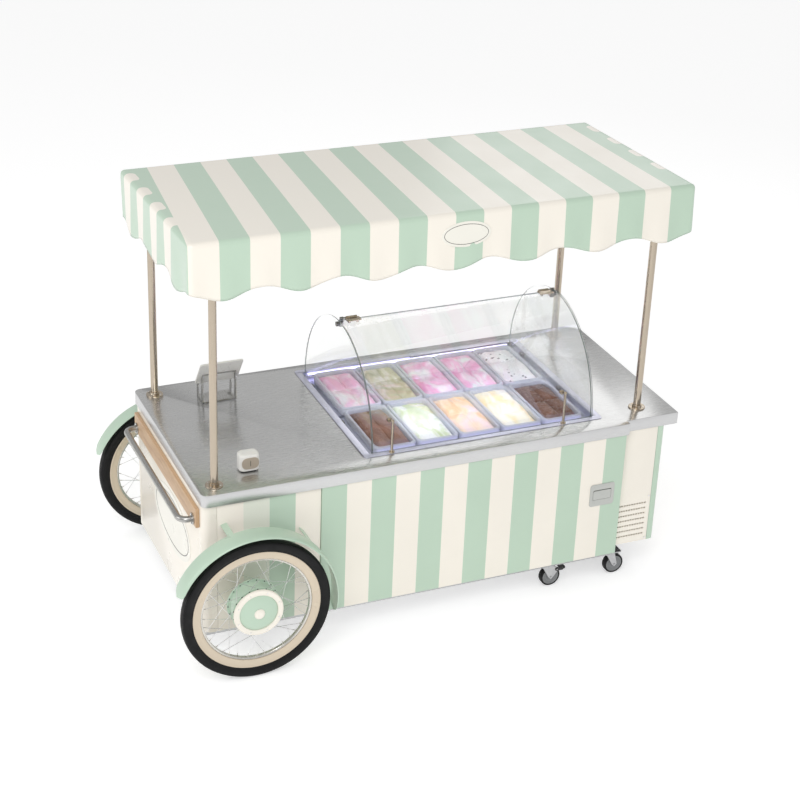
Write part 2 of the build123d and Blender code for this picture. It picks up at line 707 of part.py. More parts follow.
def worktop():
    """Folded sheet top with a fascia all round, the display cut-out and the pole holes."""
    bottom = COUNTER_HEIGHT - FASCIA
    top = round_left(Pos(0, 0, bottom) * extrude(worktop_outline(0), FASCIA), WORKTOP_CORNER)
    hollow = Pos(0, 0, bottom) * extrude(worktop_outline(WORKTOP_SHEET), FASCIA - WORKTOP_SHEET)
    top -= round_left(hollow, WORKTOP_CORNER - WORKTOP_SHEET)
    gap = WELL_WALL + 1
    top -= block((well_x - gap, well_end + gap), (well_y - gap, well_back + gap),
                 (bottom, COUNTER_HEIGHT))
    return top


def poles():
    """Round tubes on the worktop, cut at the top to the canopy frame's slope."""
    roof = canopy_place() * block((-CANOPY_LENGTH, CANOPY_LENGTH), (-CANOPY_DEPTH, CANOPY_DEPTH),
                                  (tube_top - CANOPY_TUBE, 400))
    return [rod((x, y, COUNTER_HEIGHT), (x, y, CANOPY_TOP + 50), POLE_R, POLE_R - POLE_WALL) - roof
            for x, y in pole_feet]


def pole_flanges():
    """Stepped round flange about each pole's foot."""
    flanges = []
    for x, y in pole_feet:
        z = COUNTER_HEIGHT
        flange = rod((x, y, z), (x, y, z + FLANGE_T), FLANGE_R)
        flange = fillet(flange.edges().group_by(Axis.Z)[-1], 2)
        flange += rod((x, y, z + FLANGE_T), (x, y, z + 3 * FLANGE_T), POLE_R + 5)
        flanges.append(flange - rod((x, y, z), (x, y, z + 3 * FLANGE_T), POLE_R + 0.1))
    return flanges


# ---------------------------------------------------------------- canopy
def canopy_place():
    """Canopy's own frame: middle of the top surface, tilted towards the vendor."""
    return Pos(canopy_x, 0, CANOPY_TOP) * Rot(-CANOPY_TILT, 0, 0)


def scallop_cut(length, pitch, depth):
    """Solid below a wavy line along X, to be cut from a valance; depth runs both ways along Y."""
    half = length / 2
    count = round(length / pitch)
    odd = count % 2
    steps = count * 8
    wave = []
    for i in range(steps + 1):
        x = -half + length * i / steps
        phase = 2 * math.pi * x / pitch
        wave.append((x, -VALANCE - SCALLOP * math.cos(phase) * (1 if odd else -1)))
    far = -VALANCE - 6 * SCALLOP
    top = Spline(*wave)
    rest = Polyline(wave[-1], (half + 1, wave[-1][1]), (half + 1, far), (-half - 1, far),
                    (-half - 1, wave[0][1]), wave[0])
    side = Plane((0, 0, 0), x_dir=(1, 0, 0), z_dir=(0, -1, 0)) * make_face(Wire([top, *rest.edges()]))
    return extrude(side, depth, both=True)


def canopy_skin():
    """Closed cover: top with rounded edges and four scalloped valances."""
    low = -VALANCE - SCALLOP - 1
    outer = block((-CANOPY_LENGTH / 2, CANOPY_LENGTH / 2), (-CANOPY_DEPTH / 2, CANOPY_DEPTH / 2),
                  (low, 0))
    outer = fillet(outer.edges().filter_by(Axis.Z), CANOPY_EDGE)
    outer = fillet(outer.edges().group_by(Axis.Z)[-1], CANOPY_EDGE)
    half_x = CANOPY_LENGTH / 2 - CANOPY_SKIN
    half_y = CANOPY_DEPTH / 2 - CANOPY_SKIN
    inner = block((-half_x, half_x), (-half_y, half_y), (low, -CANOPY_SKIN))
    inner = fillet(inner.edges().filter_by(Axis.Z), CANOPY_EDGE - CANOPY_SKIN)
    inner = fillet(inner.edges().group_by(Axis.Z)[-1], CANOPY_EDGE - CANOPY_SKIN)
    skin = outer - inner
    deep = (-2 * VALANCE, 0)
    inside_x, inside_y = half_x - CANOPY_EDGE, half_y - CANOPY_EDGE
    front = scallop_cut(CANOPY_LENGTH, FRONT_SCALLOPS, CANOPY_DEPTH)
    skin -= front - block((-CANOPY_LENGTH, CANOPY_LENGTH), (-inside_y, inside_y), deep)
    ends = Rot(0, 0, 90) * scallop_cut(CANOPY_DEPTH, END_SCALLOPS, CANOPY_LENGTH)
    skin -= ends - block((-inside_x, inside_x), (-CANOPY_LENGTH, CANOPY_LENGTH), deep)
    return canopy_place() * skin


def canopy_frame():
    """Ring of tube under the cover with a cross tube over each pair of poles and in the middle."""
    tube = (tube_top - CANOPY_TUBE, tube_top)
    xs, ys = inner_x - CANOPY_EDGE / 2, inner_y - CANOPY_EDGE / 2
    t = CANOPY_TUBE
    frame = block((-xs, xs), (-ys, ys), tube) - block((t - xs, xs - t), (t - ys, ys - t), tube)
    lines = [x - canopy_x for x in pole_xs] + [(pole_xs[0] + pole_xs[1]) / 2 - canopy_x]
    for x in lines:
        frame += block((x - POLE_R - 3, x + POLE_R + 3), (-ys, ys), tube)
    return canopy_place() * frame


def canopy_light():
    """Slim light strip under the front tube of the canopy frame."""
    y = -inner_y + CANOPY_EDGE / 2 + CANOPY_TUBE / 2
    top = tube_top - CANOPY_TUBE
    strip = block((-inner_x + 60, inner_x - 60), (y - 8, y + 8), (top - 9, top))
    return canopy_place() * fillet(strip.edges().filter_by(Axis.X).group_by(Axis.Z)[0], 4)


def oval(size, thick):
    return extrude(Ellipse(size[0] / 2, size[1] / 2), thick)


def plaques():
    """Plain oval plates on the front valance and on the left end panel."""
    front = Plane((CANOPY_BADGE_X, -CANOPY_DEPTH / 2, -VALANCE / 2 + 20), x_dir=(1, 0, 0),
                  z_dir=(0, -1, 0)) * oval(CANOPY_BADGE, BADGE_T)
    end = Plane((body_left, END_BADGE_AT[0], END_BADGE_AT[1]), x_dir=(0, -1, 0),
                z_dir=(-1, 0, 0)) * oval(END_BADGE, BADGE_T)
    return [canopy_place() * front, end]


# ---------------------------------------------------------------- cold display
def pan_centres():
    return [(well_mid_x + (column - (PAN_COLUMNS - 1) / 2) * PAN_PITCH[0],
             pan_grid_y - (row - (PAN_ROWS - 1) / 2) * PAN_PITCH[1])
            for row in range(PAN_ROWS) for column in range(PAN_COLUMNS)]


def display_well():
    """Well of plain plates: floor, walls, flange strips and the bars that carry the pans."""
    w, f = WELL_WALL, WELL_FLANGE
    bottom = COUNTER_HEIGHT - WELL_DEPTH
    outer_x, outer_y = (well_x - w, well_end + w), (well_y - w, well_back + w)
    plates = [block(outer_x, outer_y, (bottom, bottom + w))]
    for y in ((outer_y[0], well_y), (well_back, outer_y[1])):
        plates.append(block(outer_x, y, (bottom + w, COUNTER_HEIGHT)))
    for x in ((outer_x[0], well_x), (well_end, outer_x[1])):
        plates.append(block(x, (well_y, well_back), (bottom + w, COUNTER_HEIGHT)))
    flange = (COUNTER_HEIGHT, flange_z)
    for y, outside in ((well_y - f, 0), (well_back, -1)):
        strip = block((well_x - f, well_end + f), (y, y + f), flange)
        plates.append(fillet(strip.edges().filter_by(Axis.Z).group_by(Axis.Y)[outside], 14))
    for x in (well_x - f, well_end):
        plates.append(block((x, x + f), (well_y, well_back), flange))
    return plates + pan_bars()


def pan_bars():
    """Flat bars on every side of every pan's body, which its collar rests on."""
    cut_x, cut_y = [size / 2 + PAN_CLEARANCE for size in pan_body]
    xs = sorted({x for x, y in pan_centres()})
    ys = sorted({y for x, y in pan_centres()})
    edges_x = [well_x, *[x + side * cut_x for x in xs for side in (-1, 1)], well_end]
    edges_y = [well_y, *[y + side * cut_y for y in ys for side in (-1, 1)], well_back]
    z = (deck_z - WELL_WALL, deck_z)
    bars = [block((well_x, well_end), gap, z) for gap in zip(edges_y[::2], edges_y[1::2])]
    for y in ys:
        bars += [block(gap, (y - cut_y, y + cut_y), z) for gap in zip(edges_x[::2], edges_x[1::2])]
    return bars


def gelato_pan(x, y):
    """Pan with a collar that rests on the bars, filled with ice cream to below its rim."""
    corner = PAN_CORNER - PAN_STEP
    pan = slab(pan_size, PAN_CORNER, (deck_z, pan_top))
    pan = fillet(pan.edges().group_by(Axis.Z)[-1], 2.5)
    pan += slab(pan_body, corner, (deck_z - PAN_DEPTH, deck_z))
    inner = (pan_body[0] - 2 * PAN_WALL, pan_body[1] - 2 * PAN_WALL)
    pan -= slab(inner, corner - PAN_WALL / 2, (pan_top - ICE_DOWN, pan_top))
    return Pos(x, y, 0) * pan


def arch_face(a, b, x):
    """Half-ellipse face over the flange height, drawn as short arcs, in the plane of a given x."""
    angles = [math.pi * i / (2 * ARCH_ARCS) for i in range(2 * ARCH_ARCS + 1)]
    points = [(a * math.cos(t), b * math.sin(t)) for t in angles]
    arcs = [ThreePointArc(*points[i:i + 3]) for i in range(0, 2 * ARCH_ARCS, 2)]
    half = make_face(Wire([*arcs, Line((-a, 0), (a, 0))]))
    return Plane((x, hood_y, flange_z), x_dir=(0, 1, 0), z_dir=(1, 0, 0)) * half


def end_glasses():
    """Arch-shaped glass at each end of the display, standing on the deck."""
    glasses = []
    for i, x in enumerate(hood_x):
        low = x if i == 0 else x - GLASS
        arch = extrude(arch_face(hood_a, hood_b, low), GLASS)
        foot = block((low, low + GLASS), (hood_y - hood_a, hood_y + hood_a), (deck_z, flange_z))
        hole = rod((low - 1, hood_pin[0], knob_z), (low + GLASS + 1, hood_pin[0], knob_z), 5)
        glasses.append(arch + foot - hole)
    return glasses


def leg_point():
    """Where a leg's clamp meets the curved glass, and the outward normal there, as (y, z)."""
    z = LEG_HEIGHT - 10
    a, b = sheet_a + GLASS, sheet_b + GLASS
    y = -a * math.sqrt(1 - (z / b) ** 2)
    normal = Vector(0, y / a ** 2, z / b ** 2).normalized()
    return Vector(0, hood_y + y, flange_z + z), normal


def leg_xs():
    return (hood_x[0] + LEG_INSET[0], hood_x[1] - LEG_INSET[1])


def leaf_xs():
    """Middle of the moving leaf of each top clamp."""
    return (hood_x[0] + GLASS + 22 + HOOD_LEAF[0] / 2, hood_x[1] - GLASS - 22 - HOOD_LEAF[0] / 2)


def curved_glass():
    """Quarter of an elliptical tube from the crest down to the front foot."""
    reach = (hood_x[0] - 3, hood_x[1] + 3)
    outer = extrude(arch_face(sheet_a + GLASS, sheet_b + GLASS, reach[0]), reach[1] - reach[0])
    inner = extrude(arch_face(sheet_a, sheet_b, reach[0] - 1), reach[1] - reach[0] + 2)
    front = block((reach[0] - 1, reach[1] + 1), (hood_y - hood_a - 20, hood_y),
                  (flange_z + 0.6, flange_z + hood_b + 20))
    sheet = (outer - inner) & front
    point, normal = leg_point()
    for x in leg_xs():
        middle = Vector(x, point.Y, point.Z)
        sheet -= rod(tuple(middle + normal * 10), tuple(middle - normal * 20), 3.4)
    for x in leaf_xs():
        for dx in (-20, 20):
            bolt_y = hood_y - HOOD_LEAF[1] / 2
            sheet -= rod((x + dx, bolt_y, hood_pin[1] - 30), (x + dx, bolt_y, hood_pin[1] + 5), 3.4)
    return sheet


def glass_legs():
    """Legs clamped through the curved glass, standing on the flange."""
    point, normal = leg_point()
    legs = []
    for x in leg_xs():
        middle = Vector(x, point.Y, point.Z)
        head = middle + normal * LEG_ARM
        foot_z = flange_z + 0.5
        leg = rod((x, head.Y, foot_z + 4), (x, head.Y, head.Z), LEG_R)
        leg += rod((x, head.Y, foot_z), (x, head.Y, foot_z + 5), 2.1 * LEG_R)
        leg += Pos(x, head.Y, head.Z) * Sphere(LEG_R + 1.5)
        leg += rod(tuple(head), tuple(middle + normal * 1), LEG_R - 1.5)
        leg += rod(tuple(middle + normal * 5), tuple(middle + normal * 0.6), 11)
        leg += rod(tuple(middle + normal * 2), tuple(middle - normal * (GLASS + 8)), 3)
        leg += rod(tuple(middle - normal * (GLASS + 0.8)), tuple(middle - normal * (GLASS + 6)), 9)
        legs.append(leg)
    return legs


def glass_clamps():
    """Fixed half of the top clamps with their knobs, and the clips at the feet of the end glasses."""
    solids = []
    y, z = hood_pin
    for x, way, leaf in zip(hood_x, (1, -1), leaf_xs()):
        inside = x + way * GLASS
        body = block(sorted((inside, inside + way * 18)), (y - 7, y + 16), (knob_z - 14, knob_z + 12))
        body += block(sorted((inside + way * 2, inside + way * 18)), (y - 2, y + 5),
                      (knob_z, z))
        body += rod((inside + way * 2, y, z), (inside + way * 18, y, z), HOOD_KNUCKLE_R)
        body += rod((inside + way * 10, y, z), (leaf + way * HOOD_KNUCKLE / 2, y, z), HOOD_PIN_R)
        body += rod((inside, y, knob_z), (x - way * 8, y, knob_z), 4.6)
        body += rod((x, y, knob_z), (x - way * 10, y, knob_z), 11)
        solids.append(body)
        for clip_y in (hood_y - 90, hood_y + 300):
            clip = block(sorted((x, x - way * (HOOD_SIDE - 1))), (clip_y - 14, clip_y + 14),
                         (deck_z, deck_z + 24))
            solids.append(clip)
    return solids


def glass_leaves():
    """Moving leaf of each top clamp: knuckle, plate over the glass and two bolts through it."""
    leaves = []
    y, z = hood_pin
    length, width, thick = HOOD_LEAF
    low = flange_z + sheet_b + GLASS + 0.6
    for x in leaf_xs():
        leaf = block((x - length / 2, x + length / 2), (hood_y - width, y), (low, low + thick))
        leaf = fillet(leaf.edges().filter_by(Axis.Z).group_by(Axis.Y)[0], 8)
        leaf += rod((x - HOOD_KNUCKLE / 2, y, z), (x + HOOD_KNUCKLE / 2, y, z), HOOD_KNUCKLE_R)
        for dx in (-20, 20):
            bolt_y = hood_y - width / 2
            leaf += rod((x + dx, bolt_y, low - GLASS - 8), (x + dx, bolt_y, low + thick + 2), 3)
            leaf += rod((x + dx, bolt_y, low + thick), (x + dx, bolt_y, low + thick + 2), 5.5)
            leaf += rod((x + dx, bolt_y, low - GLASS - 7), (x + dx, bolt_y, low - GLASS - 3), 6)
        leaf -= rod((x - HOOD_KNUCKLE, y, z), (x + HOOD_KNUCKLE, y, z), HOOD_PIN_R + RUN)
        leaves.append(leaf)
    return leaves


knob_z = flange_z + hood_b * math.sqrt(1 - ((hood_pin[0] - hood_y) / hood_a) ** 2) - 16


# ---------------------------------------------------------------- handle, latch, counter things
def handle_board():
    board = block((body_left - BOARD_T, body_left), (-BOARD_LENGTH / 2, BOARD_LENGTH / 2),
                  (BOARD_Z - BOARD_HEIGHT / 2, BOARD_Z + BOARD_HEIGHT / 2))
    return fillet(board.faces().sort_by(Axis.X)[0].edges(), 3)


def handle_bar():
    """Bent tube with a flange at each end, bolted to the board."""
    start, reach = body_left - BOARD_T, body_left - BAR_REACH
    half = BAR_LENGTH / 2
    straight = half - BAR_BEND
    bore = BAR_R - BAR_WALL
    bar = rod((reach, -straight, BAR_Z), (reach, straight, BAR_Z), BAR_R, bore)
    for side in (-1, 1):
        ring = Circle(BAR_R) - Circle(bore)
        section = Plane((reach, side * straight, BAR_Z), z_dir=(0, side, 0)) * ring
        turn = Axis((reach + BAR_BEND, side * straight, BAR_Z), (0, 0, -side))
        bar += revolve(section, turn, 90)
        y = side * half
        bar += rod((reach + BAR_BEND, y, BAR_Z), (start, y, BAR_Z), BAR_R, bore)
        bar += rod((start, y, BAR_Z), (start - 5, y, BAR_Z), BAR_FLANGE_R)
    return bar


def latch_plate():
    """Rounded plate with a window for the paddle and two ears for its pins."""
    width, height = LATCH_SIZE
    face = Plane((latch_x, -face_y, LATCH_Z), x_dir=(1, 0, 0), z_dir=(0, -1, 0))
    plate = face * extrude(RectangleRounded(width, height, 12), LATCH_T)
    window = (PADDLE[0] + 3, PADDLE[1] + 1.5 + PADDLE_SWEEP)
    middle = Pos(0, (PADDLE_SWEEP - 1.5) / 2, 0)
    plate -= face * middle * extrude(RectangleRounded(*window, 7), LATCH_T)
    y, z = paddle_pin
    for way in (-1, 1):
        near = latch_x + way * (PADDLE[0] / 2 + 1)
        ear = block(sorted((near, near + way * 5)), (-face_y, y + 4), (z - 5, z + 5))
        plate += ear - rod((near - way, y, z), (near + way * 6, y, z), PADDLE_PIN_R + RUN)
    return plate


def latch_paddle():
    """Sprung flap in the window, on a barrel with two pins."""
    length, height, thick = PADDLE
    y, z = paddle_pin
    face = Plane((latch_x, -face_y, LATCH_Z), x_dir=(1, 0, 0), z_dir=(0, -1, 0))
    flap = face * extrude(RectangleRounded(length, height, 6), thick)
    flap += block((latch_x - length / 2 + 4, latch_x + length / 2 - 4), (-face_y, y),
                  (z - 3, z + 3))
    flap += rod((latch_x - length / 2 + 2, y, z), (latch_x + length / 2 - 2, y, z), 3)
    flap += rod((latch_x - length / 2 - 4, y, z), (latch_x + length / 2 + 4, y, z), PADDLE_PIN_R)
    return flap


def tablet_place():
    """Tablet's own frame: its middle, leaning away from the vendor."""
    return (Pos(x_left + TABLET_AT[0], TABLET_AT[1], COUNTER_HEIGHT + 148)
            * Rot(90 + TABLET_LEAN, 0, 0))


def tablet():
    width, height, thick = TABLET
    body = extrude(RectangleRounded(width, height, 10), thick / 2, both=True)
    body = fillet(body.edges().group_by(Axis.Z)[-1], 2)
    body = fillet(body.edges().group_by(Axis.Z)[0], 2)
    return tablet_place() * body


def tablet_stand():
    """Open box of flat bar: foot plate, two uprights with a top bar, and two back props."""
    width, depth, height = STAND
    bar, t = STAND_BAR
    x = x_left + TABLET_AT[0]
    front = TABLET_AT[1] - 6
    z = COUNTER_HEIGHT
    stand = block((x - width / 2, x + width / 2), (front, front + depth), (z, z + t))
    for side in (-1, 1):
        inner = x + side * (width / 2 - t)
        stand += block(sorted((inner, inner + side * t)), (front, front + bar), (z, z + height))
        stand += block(sorted((inner, inner + side * t)), (front + depth - bar, front + depth),
                       (z, z + height * 0.62))
    stand += block((x - width / 2, x + width / 2), (front, front + bar), (z + height - t, z + height))
    clear = tablet_place() * Box(TABLET[0] + 20, TABLET[1] + 80, TABLET[2] + 0.4)
    return max((stand - clear).solids(), key=lambda solid: solid.volume)


def card_reader():
    """Rounded reader body with a slotted oval face on a dark foot."""
    width, depth, height = READER
    x, y = x_left + READER_AT[0], READER_AT[1]
    z = COUNTER_HEIGHT
    foot = Pos(x, y, 0) * slab((width - 26, depth - 26), 8, (z, z + 6))
    body = Pos(x, y, 0) * slab((width, depth), 24, (z + 6, z + height))
    body = fillet(body.edges().group_by(Axis.Z)[-1], 10)
    body = fillet(body.edges().group_by(Axis.Z)[0], 6)
    face = Plane((x, y - depth / 2 + 4, z + 6 + (height - 6) / 2), x_dir=(1, 0, 0), z_dir=(0, -1, 0))
    plate = face * extrude(RectangleRounded(width - 16, height - 30, 24), 6)
    slot = face * extrude(Rectangle(3, 26), 6)
    body -= plate
    return [foot, body, plate - Pos(0, -3, 0) * slot]


def compressor_unit():
    """Tray, compressor pot and condenser block in the right bay."""
    x = (main_end + 5, body_right - PANEL_T - 5)
    z = BAY_BOTTOM + FRAME_TUBE
    tray = block(x, (-400, 150), (z, z + 3))
    middle = (x[0] + x[1]) / 2
    pot = rod((middle, 20, z + 3), (middle, 20, z + 180), 62)
    pot = fillet(pot.edges().group_by(Axis.Z)[-1], 30)
    condenser = block((x[0] + 10, x[1] - 10), (-390, -340), (z + 3, z + 230))
    return [tray, pot, condenser]


def fasteners():
    """Round-headed screws of the pole flanges, the handle flanges and the vent panel."""
    screws = []
    for x, y in pole_feet:
        for turn in range(4):
            a = math.radians(45 + 90 * turn)
            r = (FLANGE_R + POLE_R + 5) / 2
            at = (x + r * math.cos(a), y + r * math.sin(a))
            z = COUNTER_HEIGHT + FLANGE_T
            screws.append(rod((*at, z), (*at, z + 2.2), 3.2))
    for y in (-BAR_LENGTH / 2, BAR_LENGTH / 2):
        for z in (BAR_Z - 20, BAR_Z + 20):
            x = body_left - BOARD_T - 5
            screws.append(rod((x, y, z), (x - 4, y, z), 4.5))
    for x in (main_end + 12, strip_x - 12):
        for z in (BAY_BOTTOM + 14, VENT_LOW + VENT_ROWS * VENT_PITCH[1] + 6):
            screws.append(rod((x, -bay_y, z), (x, -bay_y - 2, z), 4))
    return screws


# ---------------------------------------------------------------- write every node
os.makedirs("parts", exist_ok=True)

big_wheels()
save("mudguards", fender(-1), fender(1))
save("axle", axle())
casters()

save("chassis_frame", chassis_frame())
save("floor_pan", floor_pan())
save("front_panel", *front_panel())
save("front_left_panel", front_left_panel())
save("cream_panels", *end_panels(), vent_panel())
save("corner_posts", *corner_posts())
save("rear_panels", *rear_panels())
save("rear_door_left", *rear_door(0))
save("rear_door_right", *rear_door(1))

save("worktop", worktop())
save("poles", *poles(), *pole_flanges())
save("canopy_frame", canopy_frame())
save("canopy_skin", canopy_skin())
save("canopy_light", canopy_light())
save("plaques", *plaques())

save("display_well", *display_well())
for number, centre in enumerate(pan_centres(), start=1):
    save(f"gelato_pan_{number:02d}", gelato_pan(*centre))
save("end_glasses", *end_glasses())
save("curved_glass", curved_glass())
save("glass_legs", *glass_legs(), *glass_leaves())
save("glass_clamps", *glass_clamps())

save("handle_board", handle_board())
save("handle_bar", handle_bar())
save("latch_plate", latch_plate())
save("latch_paddle", latch_paddle())
save("tablet", tablet())
save("tablet_stand", tablet_stand())
save("card_reader", *card_reader())
save("compressor_unit", *compressor_unit())
save("fasteners", *fasteners())
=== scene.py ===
"""Looks of the push vending cart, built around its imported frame. Lengths in metres."""

import json
from math import cos, hypot, pi, radians, sin, sqrt

import bmesh
import bpy
from mathutils import Matrix, Vector, noise

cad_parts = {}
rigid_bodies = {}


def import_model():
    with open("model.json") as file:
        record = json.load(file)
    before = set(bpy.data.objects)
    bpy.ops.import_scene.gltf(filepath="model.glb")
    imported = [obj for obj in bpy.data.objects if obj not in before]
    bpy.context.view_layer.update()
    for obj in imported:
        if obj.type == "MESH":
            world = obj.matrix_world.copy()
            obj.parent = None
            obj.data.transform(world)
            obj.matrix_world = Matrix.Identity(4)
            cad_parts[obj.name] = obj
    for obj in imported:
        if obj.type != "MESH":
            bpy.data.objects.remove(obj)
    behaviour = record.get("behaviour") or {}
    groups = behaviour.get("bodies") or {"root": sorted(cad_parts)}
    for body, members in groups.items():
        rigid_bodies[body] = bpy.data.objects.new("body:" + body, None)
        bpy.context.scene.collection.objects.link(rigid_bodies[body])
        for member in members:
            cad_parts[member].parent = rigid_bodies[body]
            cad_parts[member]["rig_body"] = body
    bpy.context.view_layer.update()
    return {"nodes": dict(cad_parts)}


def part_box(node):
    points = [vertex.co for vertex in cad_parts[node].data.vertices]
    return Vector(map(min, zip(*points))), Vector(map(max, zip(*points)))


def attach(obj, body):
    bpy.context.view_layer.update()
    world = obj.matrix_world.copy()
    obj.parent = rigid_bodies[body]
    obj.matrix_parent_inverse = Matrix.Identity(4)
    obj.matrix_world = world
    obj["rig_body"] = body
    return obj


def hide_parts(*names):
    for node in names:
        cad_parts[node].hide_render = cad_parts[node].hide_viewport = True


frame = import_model()

# ---------------------------------------------------------------- sizes the looks need
CANOPY_TILT = radians(2.0)
CANOPY_DEPTH = 1.02
CANOPY_EDGE = 0.02
CANOPY_CLOTH = 0.0025
VALANCE = 0.232
SCALLOP = 0.02
FRONT_WAVES = 7
END_WAVES = 3
TOP_STRIPES = 18
END_STRIPE = 0.101       # stripes on the canopy's ends
END_START = 0.075        # from the back edge to the first of them
END_WRAP = 0.047         # how far they run onto the top
PANEL_STRIPE = 0.1155
SPOKES = 36
SPOKE_LEAN = radians(38)     # foot against head, round the axle
DRUM_R = 0.105
HUB_BORE_R = 0.0121
TYRE_HEIGHT = 0.047
RIM_HEIGHT = 0.036
GLASS = 0.006
FENDER_WIDTH = 0.092
FENDER_START = radians(-13)
FENDER_END = radians(160)
FENDER_TIP = 0.04            # radius of its rounded tips
FENDER_SHEET = 0.0035
STAY_ANGLES = (45, 105)
STAY = (0.004, 0.028)
POCKET_DEPTH = 0.016
POCKET_GAP = (0.003, 0.006)  # round the latch paddle
CANOPY_BADGE = (0.226, 0.112)
END_BADGE = (0.556, 0.29)
END_BADGE_AT = (-0.06, 0.465)

PALE_CREAM = (0.90, 0.85, 0.76)
GREEN = (0.50, 0.645, 0.515)
PALE_MINT = (0.76, 0.79, 0.69)
RIM_CREAM = (0.66, 0.56, 0.43)


# ---------------------------------------------------------------- node helpers
class Nodes:
    """A material's node tree, with short calls for the nodes used here."""

    def __init__(self, name):
        self.material = bpy.data.materials.new(name)
        self.material.use_nodes = True
        self.tree = self.material.node_tree
        self.shader = self.tree.nodes["Principled BSDF"]
        self.place = self.tree.nodes.new("ShaderNodeTexCoord").outputs["Object"]

    def set(self, **values):
        """Uniform numbers and colours, on the shader's own sockets."""
        for key, value in values.items():
            socket = self.shader.inputs[key.replace("_", " ")]
            colour = isinstance(value, tuple) and len(socket.default_value) == 4
            socket.default_value = (*value, 1) if colour else value
        return self

    def link(self, socket, key):
        self.tree.links.new(socket, self.shader.inputs[key])
        return self

    def math(self, operation, a, b=0.0):
        node = self.tree.nodes.new("ShaderNodeMath")
        node.operation = operation
        for socket, value in zip(node.inputs, (a, b)):
            if isinstance(value, (int, float)):
                socket.default_value = value
            else:
                self.tree.links.new(value, socket)
        return node.outputs[0]

    def stretch(self, scale, vector=None):
        """Coordinates scaled differently along each axis."""
        node = self.tree.nodes.new("ShaderNodeMapping")
        node.inputs["Scale"].default_value = scale
        self.tree.links.new(vector or self.place, node.inputs["Vector"])
        return node.outputs[0]

    def noise(self, scale, detail=3.0, vector=None, distortion=0.0):
        node = self.tree.nodes.new("ShaderNodeTexNoise")
        node.inputs["Scale"].default_value = scale
        node.inputs["Detail"].default_value = detail
        node.inputs["Distortion"].default_value = distortion
        self.tree.links.new(vector or self.place, node.inputs["Vector"])
        return node.outputs["Fac"]

    def wave(self, scale, distortion, vector=None, direction="X"):
        node = self.tree.nodes.new("ShaderNodeTexWave")
        node.bands_direction = direction
        node.inputs["Scale"].default_value = scale
        node.inputs["Distortion"].default_value = distortion
        node.inputs["Detail"].default_value = 3
        self.tree.links.new(vector or self.place, node.inputs["Vector"])
        return node.outputs["Fac"]

    def axes(self):
        node = self.tree.nodes.new("ShaderNodeSeparateXYZ")
        self.tree.links.new(self.place, node.inputs[0])
        return node.outputs

    def blend(self, factor, a, b):
        """Colour a where the factor is 0 and b where it is 1."""
        node = self.tree.nodes.new("ShaderNodeMix")
        node.data_type = "RGBA"
        self.tree.links.new(factor, node.inputs["Factor"])
        for socket, value in zip((node.inputs[6], node.inputs[7]), (a, b)):
            if isinstance(value, tuple):
                socket.default_value = (*value, 1)
            else:
                self.tree.links.new(value, socket)
        return node.outputs[2]

    def ramp(self, factor, stops, constant=False):
        """A colour ramp from (position, colour) stops."""
        node = self.tree.nodes.new("ShaderNodeValToRGB")
        node.color_ramp.interpolation = "CONSTANT" if constant else "LINEAR"
        elements = node.color_ramp.elements
        while len(elements) < len(stops):
            elements.new(1)
        for element, (position, colour) in zip(elements, stops):
            element.position = position
            element.color = (*colour, 1)
        self.tree.links.new(factor, node.inputs["Fac"])
        return node.outputs["Color"]

    def range(self, factor, low, high, start=0.3, end=0.7):
        """A number that goes from low to high as the factor goes from start to end."""
        node = self.tree.nodes.new("ShaderNodeMapRange")
        for key, value in zip(("From Min", "From Max", "To Min", "To Max"), (start, end, low, high)):
            node.inputs[key].default_value = value
        self.tree.links.new(factor, node.inputs["Value"])
        return node.outputs["Result"]

    def bump(self, height, strength, distance):
        node = self.tree.nodes.new("ShaderNodeBump")
        node.inputs["Strength"].default_value = strength
        node.inputs["Distance"].default_value = distance
        self.tree.links.new(height, node.inputs["Height"])
        return self.link(node.outputs[0], "Normal")


def shade(colour, amount):
    return tuple(min(1.0, max(0.0, c * amount)) for c in colour)


# ---------------------------------------------------------------- materials
def varied(nodes, colour, spread=0.03, scale=3.0):
    """A colour with a faint large-scale variation."""
    return nodes.blend(nodes.range(nodes.noise(scale), 0, 1), shade(colour, 1 - spread),
                       shade(colour, 1 + spread))


def paint(name, colour, rough=0.32):
    """Sprayed gloss paint, with faint orange peel and slight grime variation."""
    n = Nodes(name)
    n.link(varied(n, colour), "Base Color")
    n.link(n.range(n.noise(9.0), rough - 0.05, rough + 0.08), "Roughness")
    n.set(Coat_Weight=0.25, Coat_Roughness=0.12)
    n.bump(n.noise(260.0, 2.0), 0.06, 0.0006)
    return n.material


def stripes(n, start, pitch):
    """0 and 1 by turns along X."""
    along = n.math("DIVIDE", n.math("SUBTRACT", n.axes()[0], start), pitch)
    return n.math("FLOORED_MODULO", n.math("FLOOR", along), 2)


def striped_paint(name, start, pitch, first, second):
    n = Nodes(name)
    painted = n.blend(stripes(n, start, pitch), first, second)
    grime = n.range(n.noise(2.5, 4.0), 0.96, 1.0)
    node = n.tree.nodes.new("ShaderNodeHueSaturation")
    n.tree.links.new(grime, node.inputs["Value"])
    n.tree.links.new(painted, node.inputs["Color"])
    n.link(node.outputs[0], "Base Color")
    n.link(n.range(n.noise(9.0), 0.28, 0.42), "Roughness")
    n.set(Coat_Weight=0.2, Coat_Roughness=0.15)
    n.bump(n.noise(240.0, 2.0), 0.05, 0.0006)
    return n.material


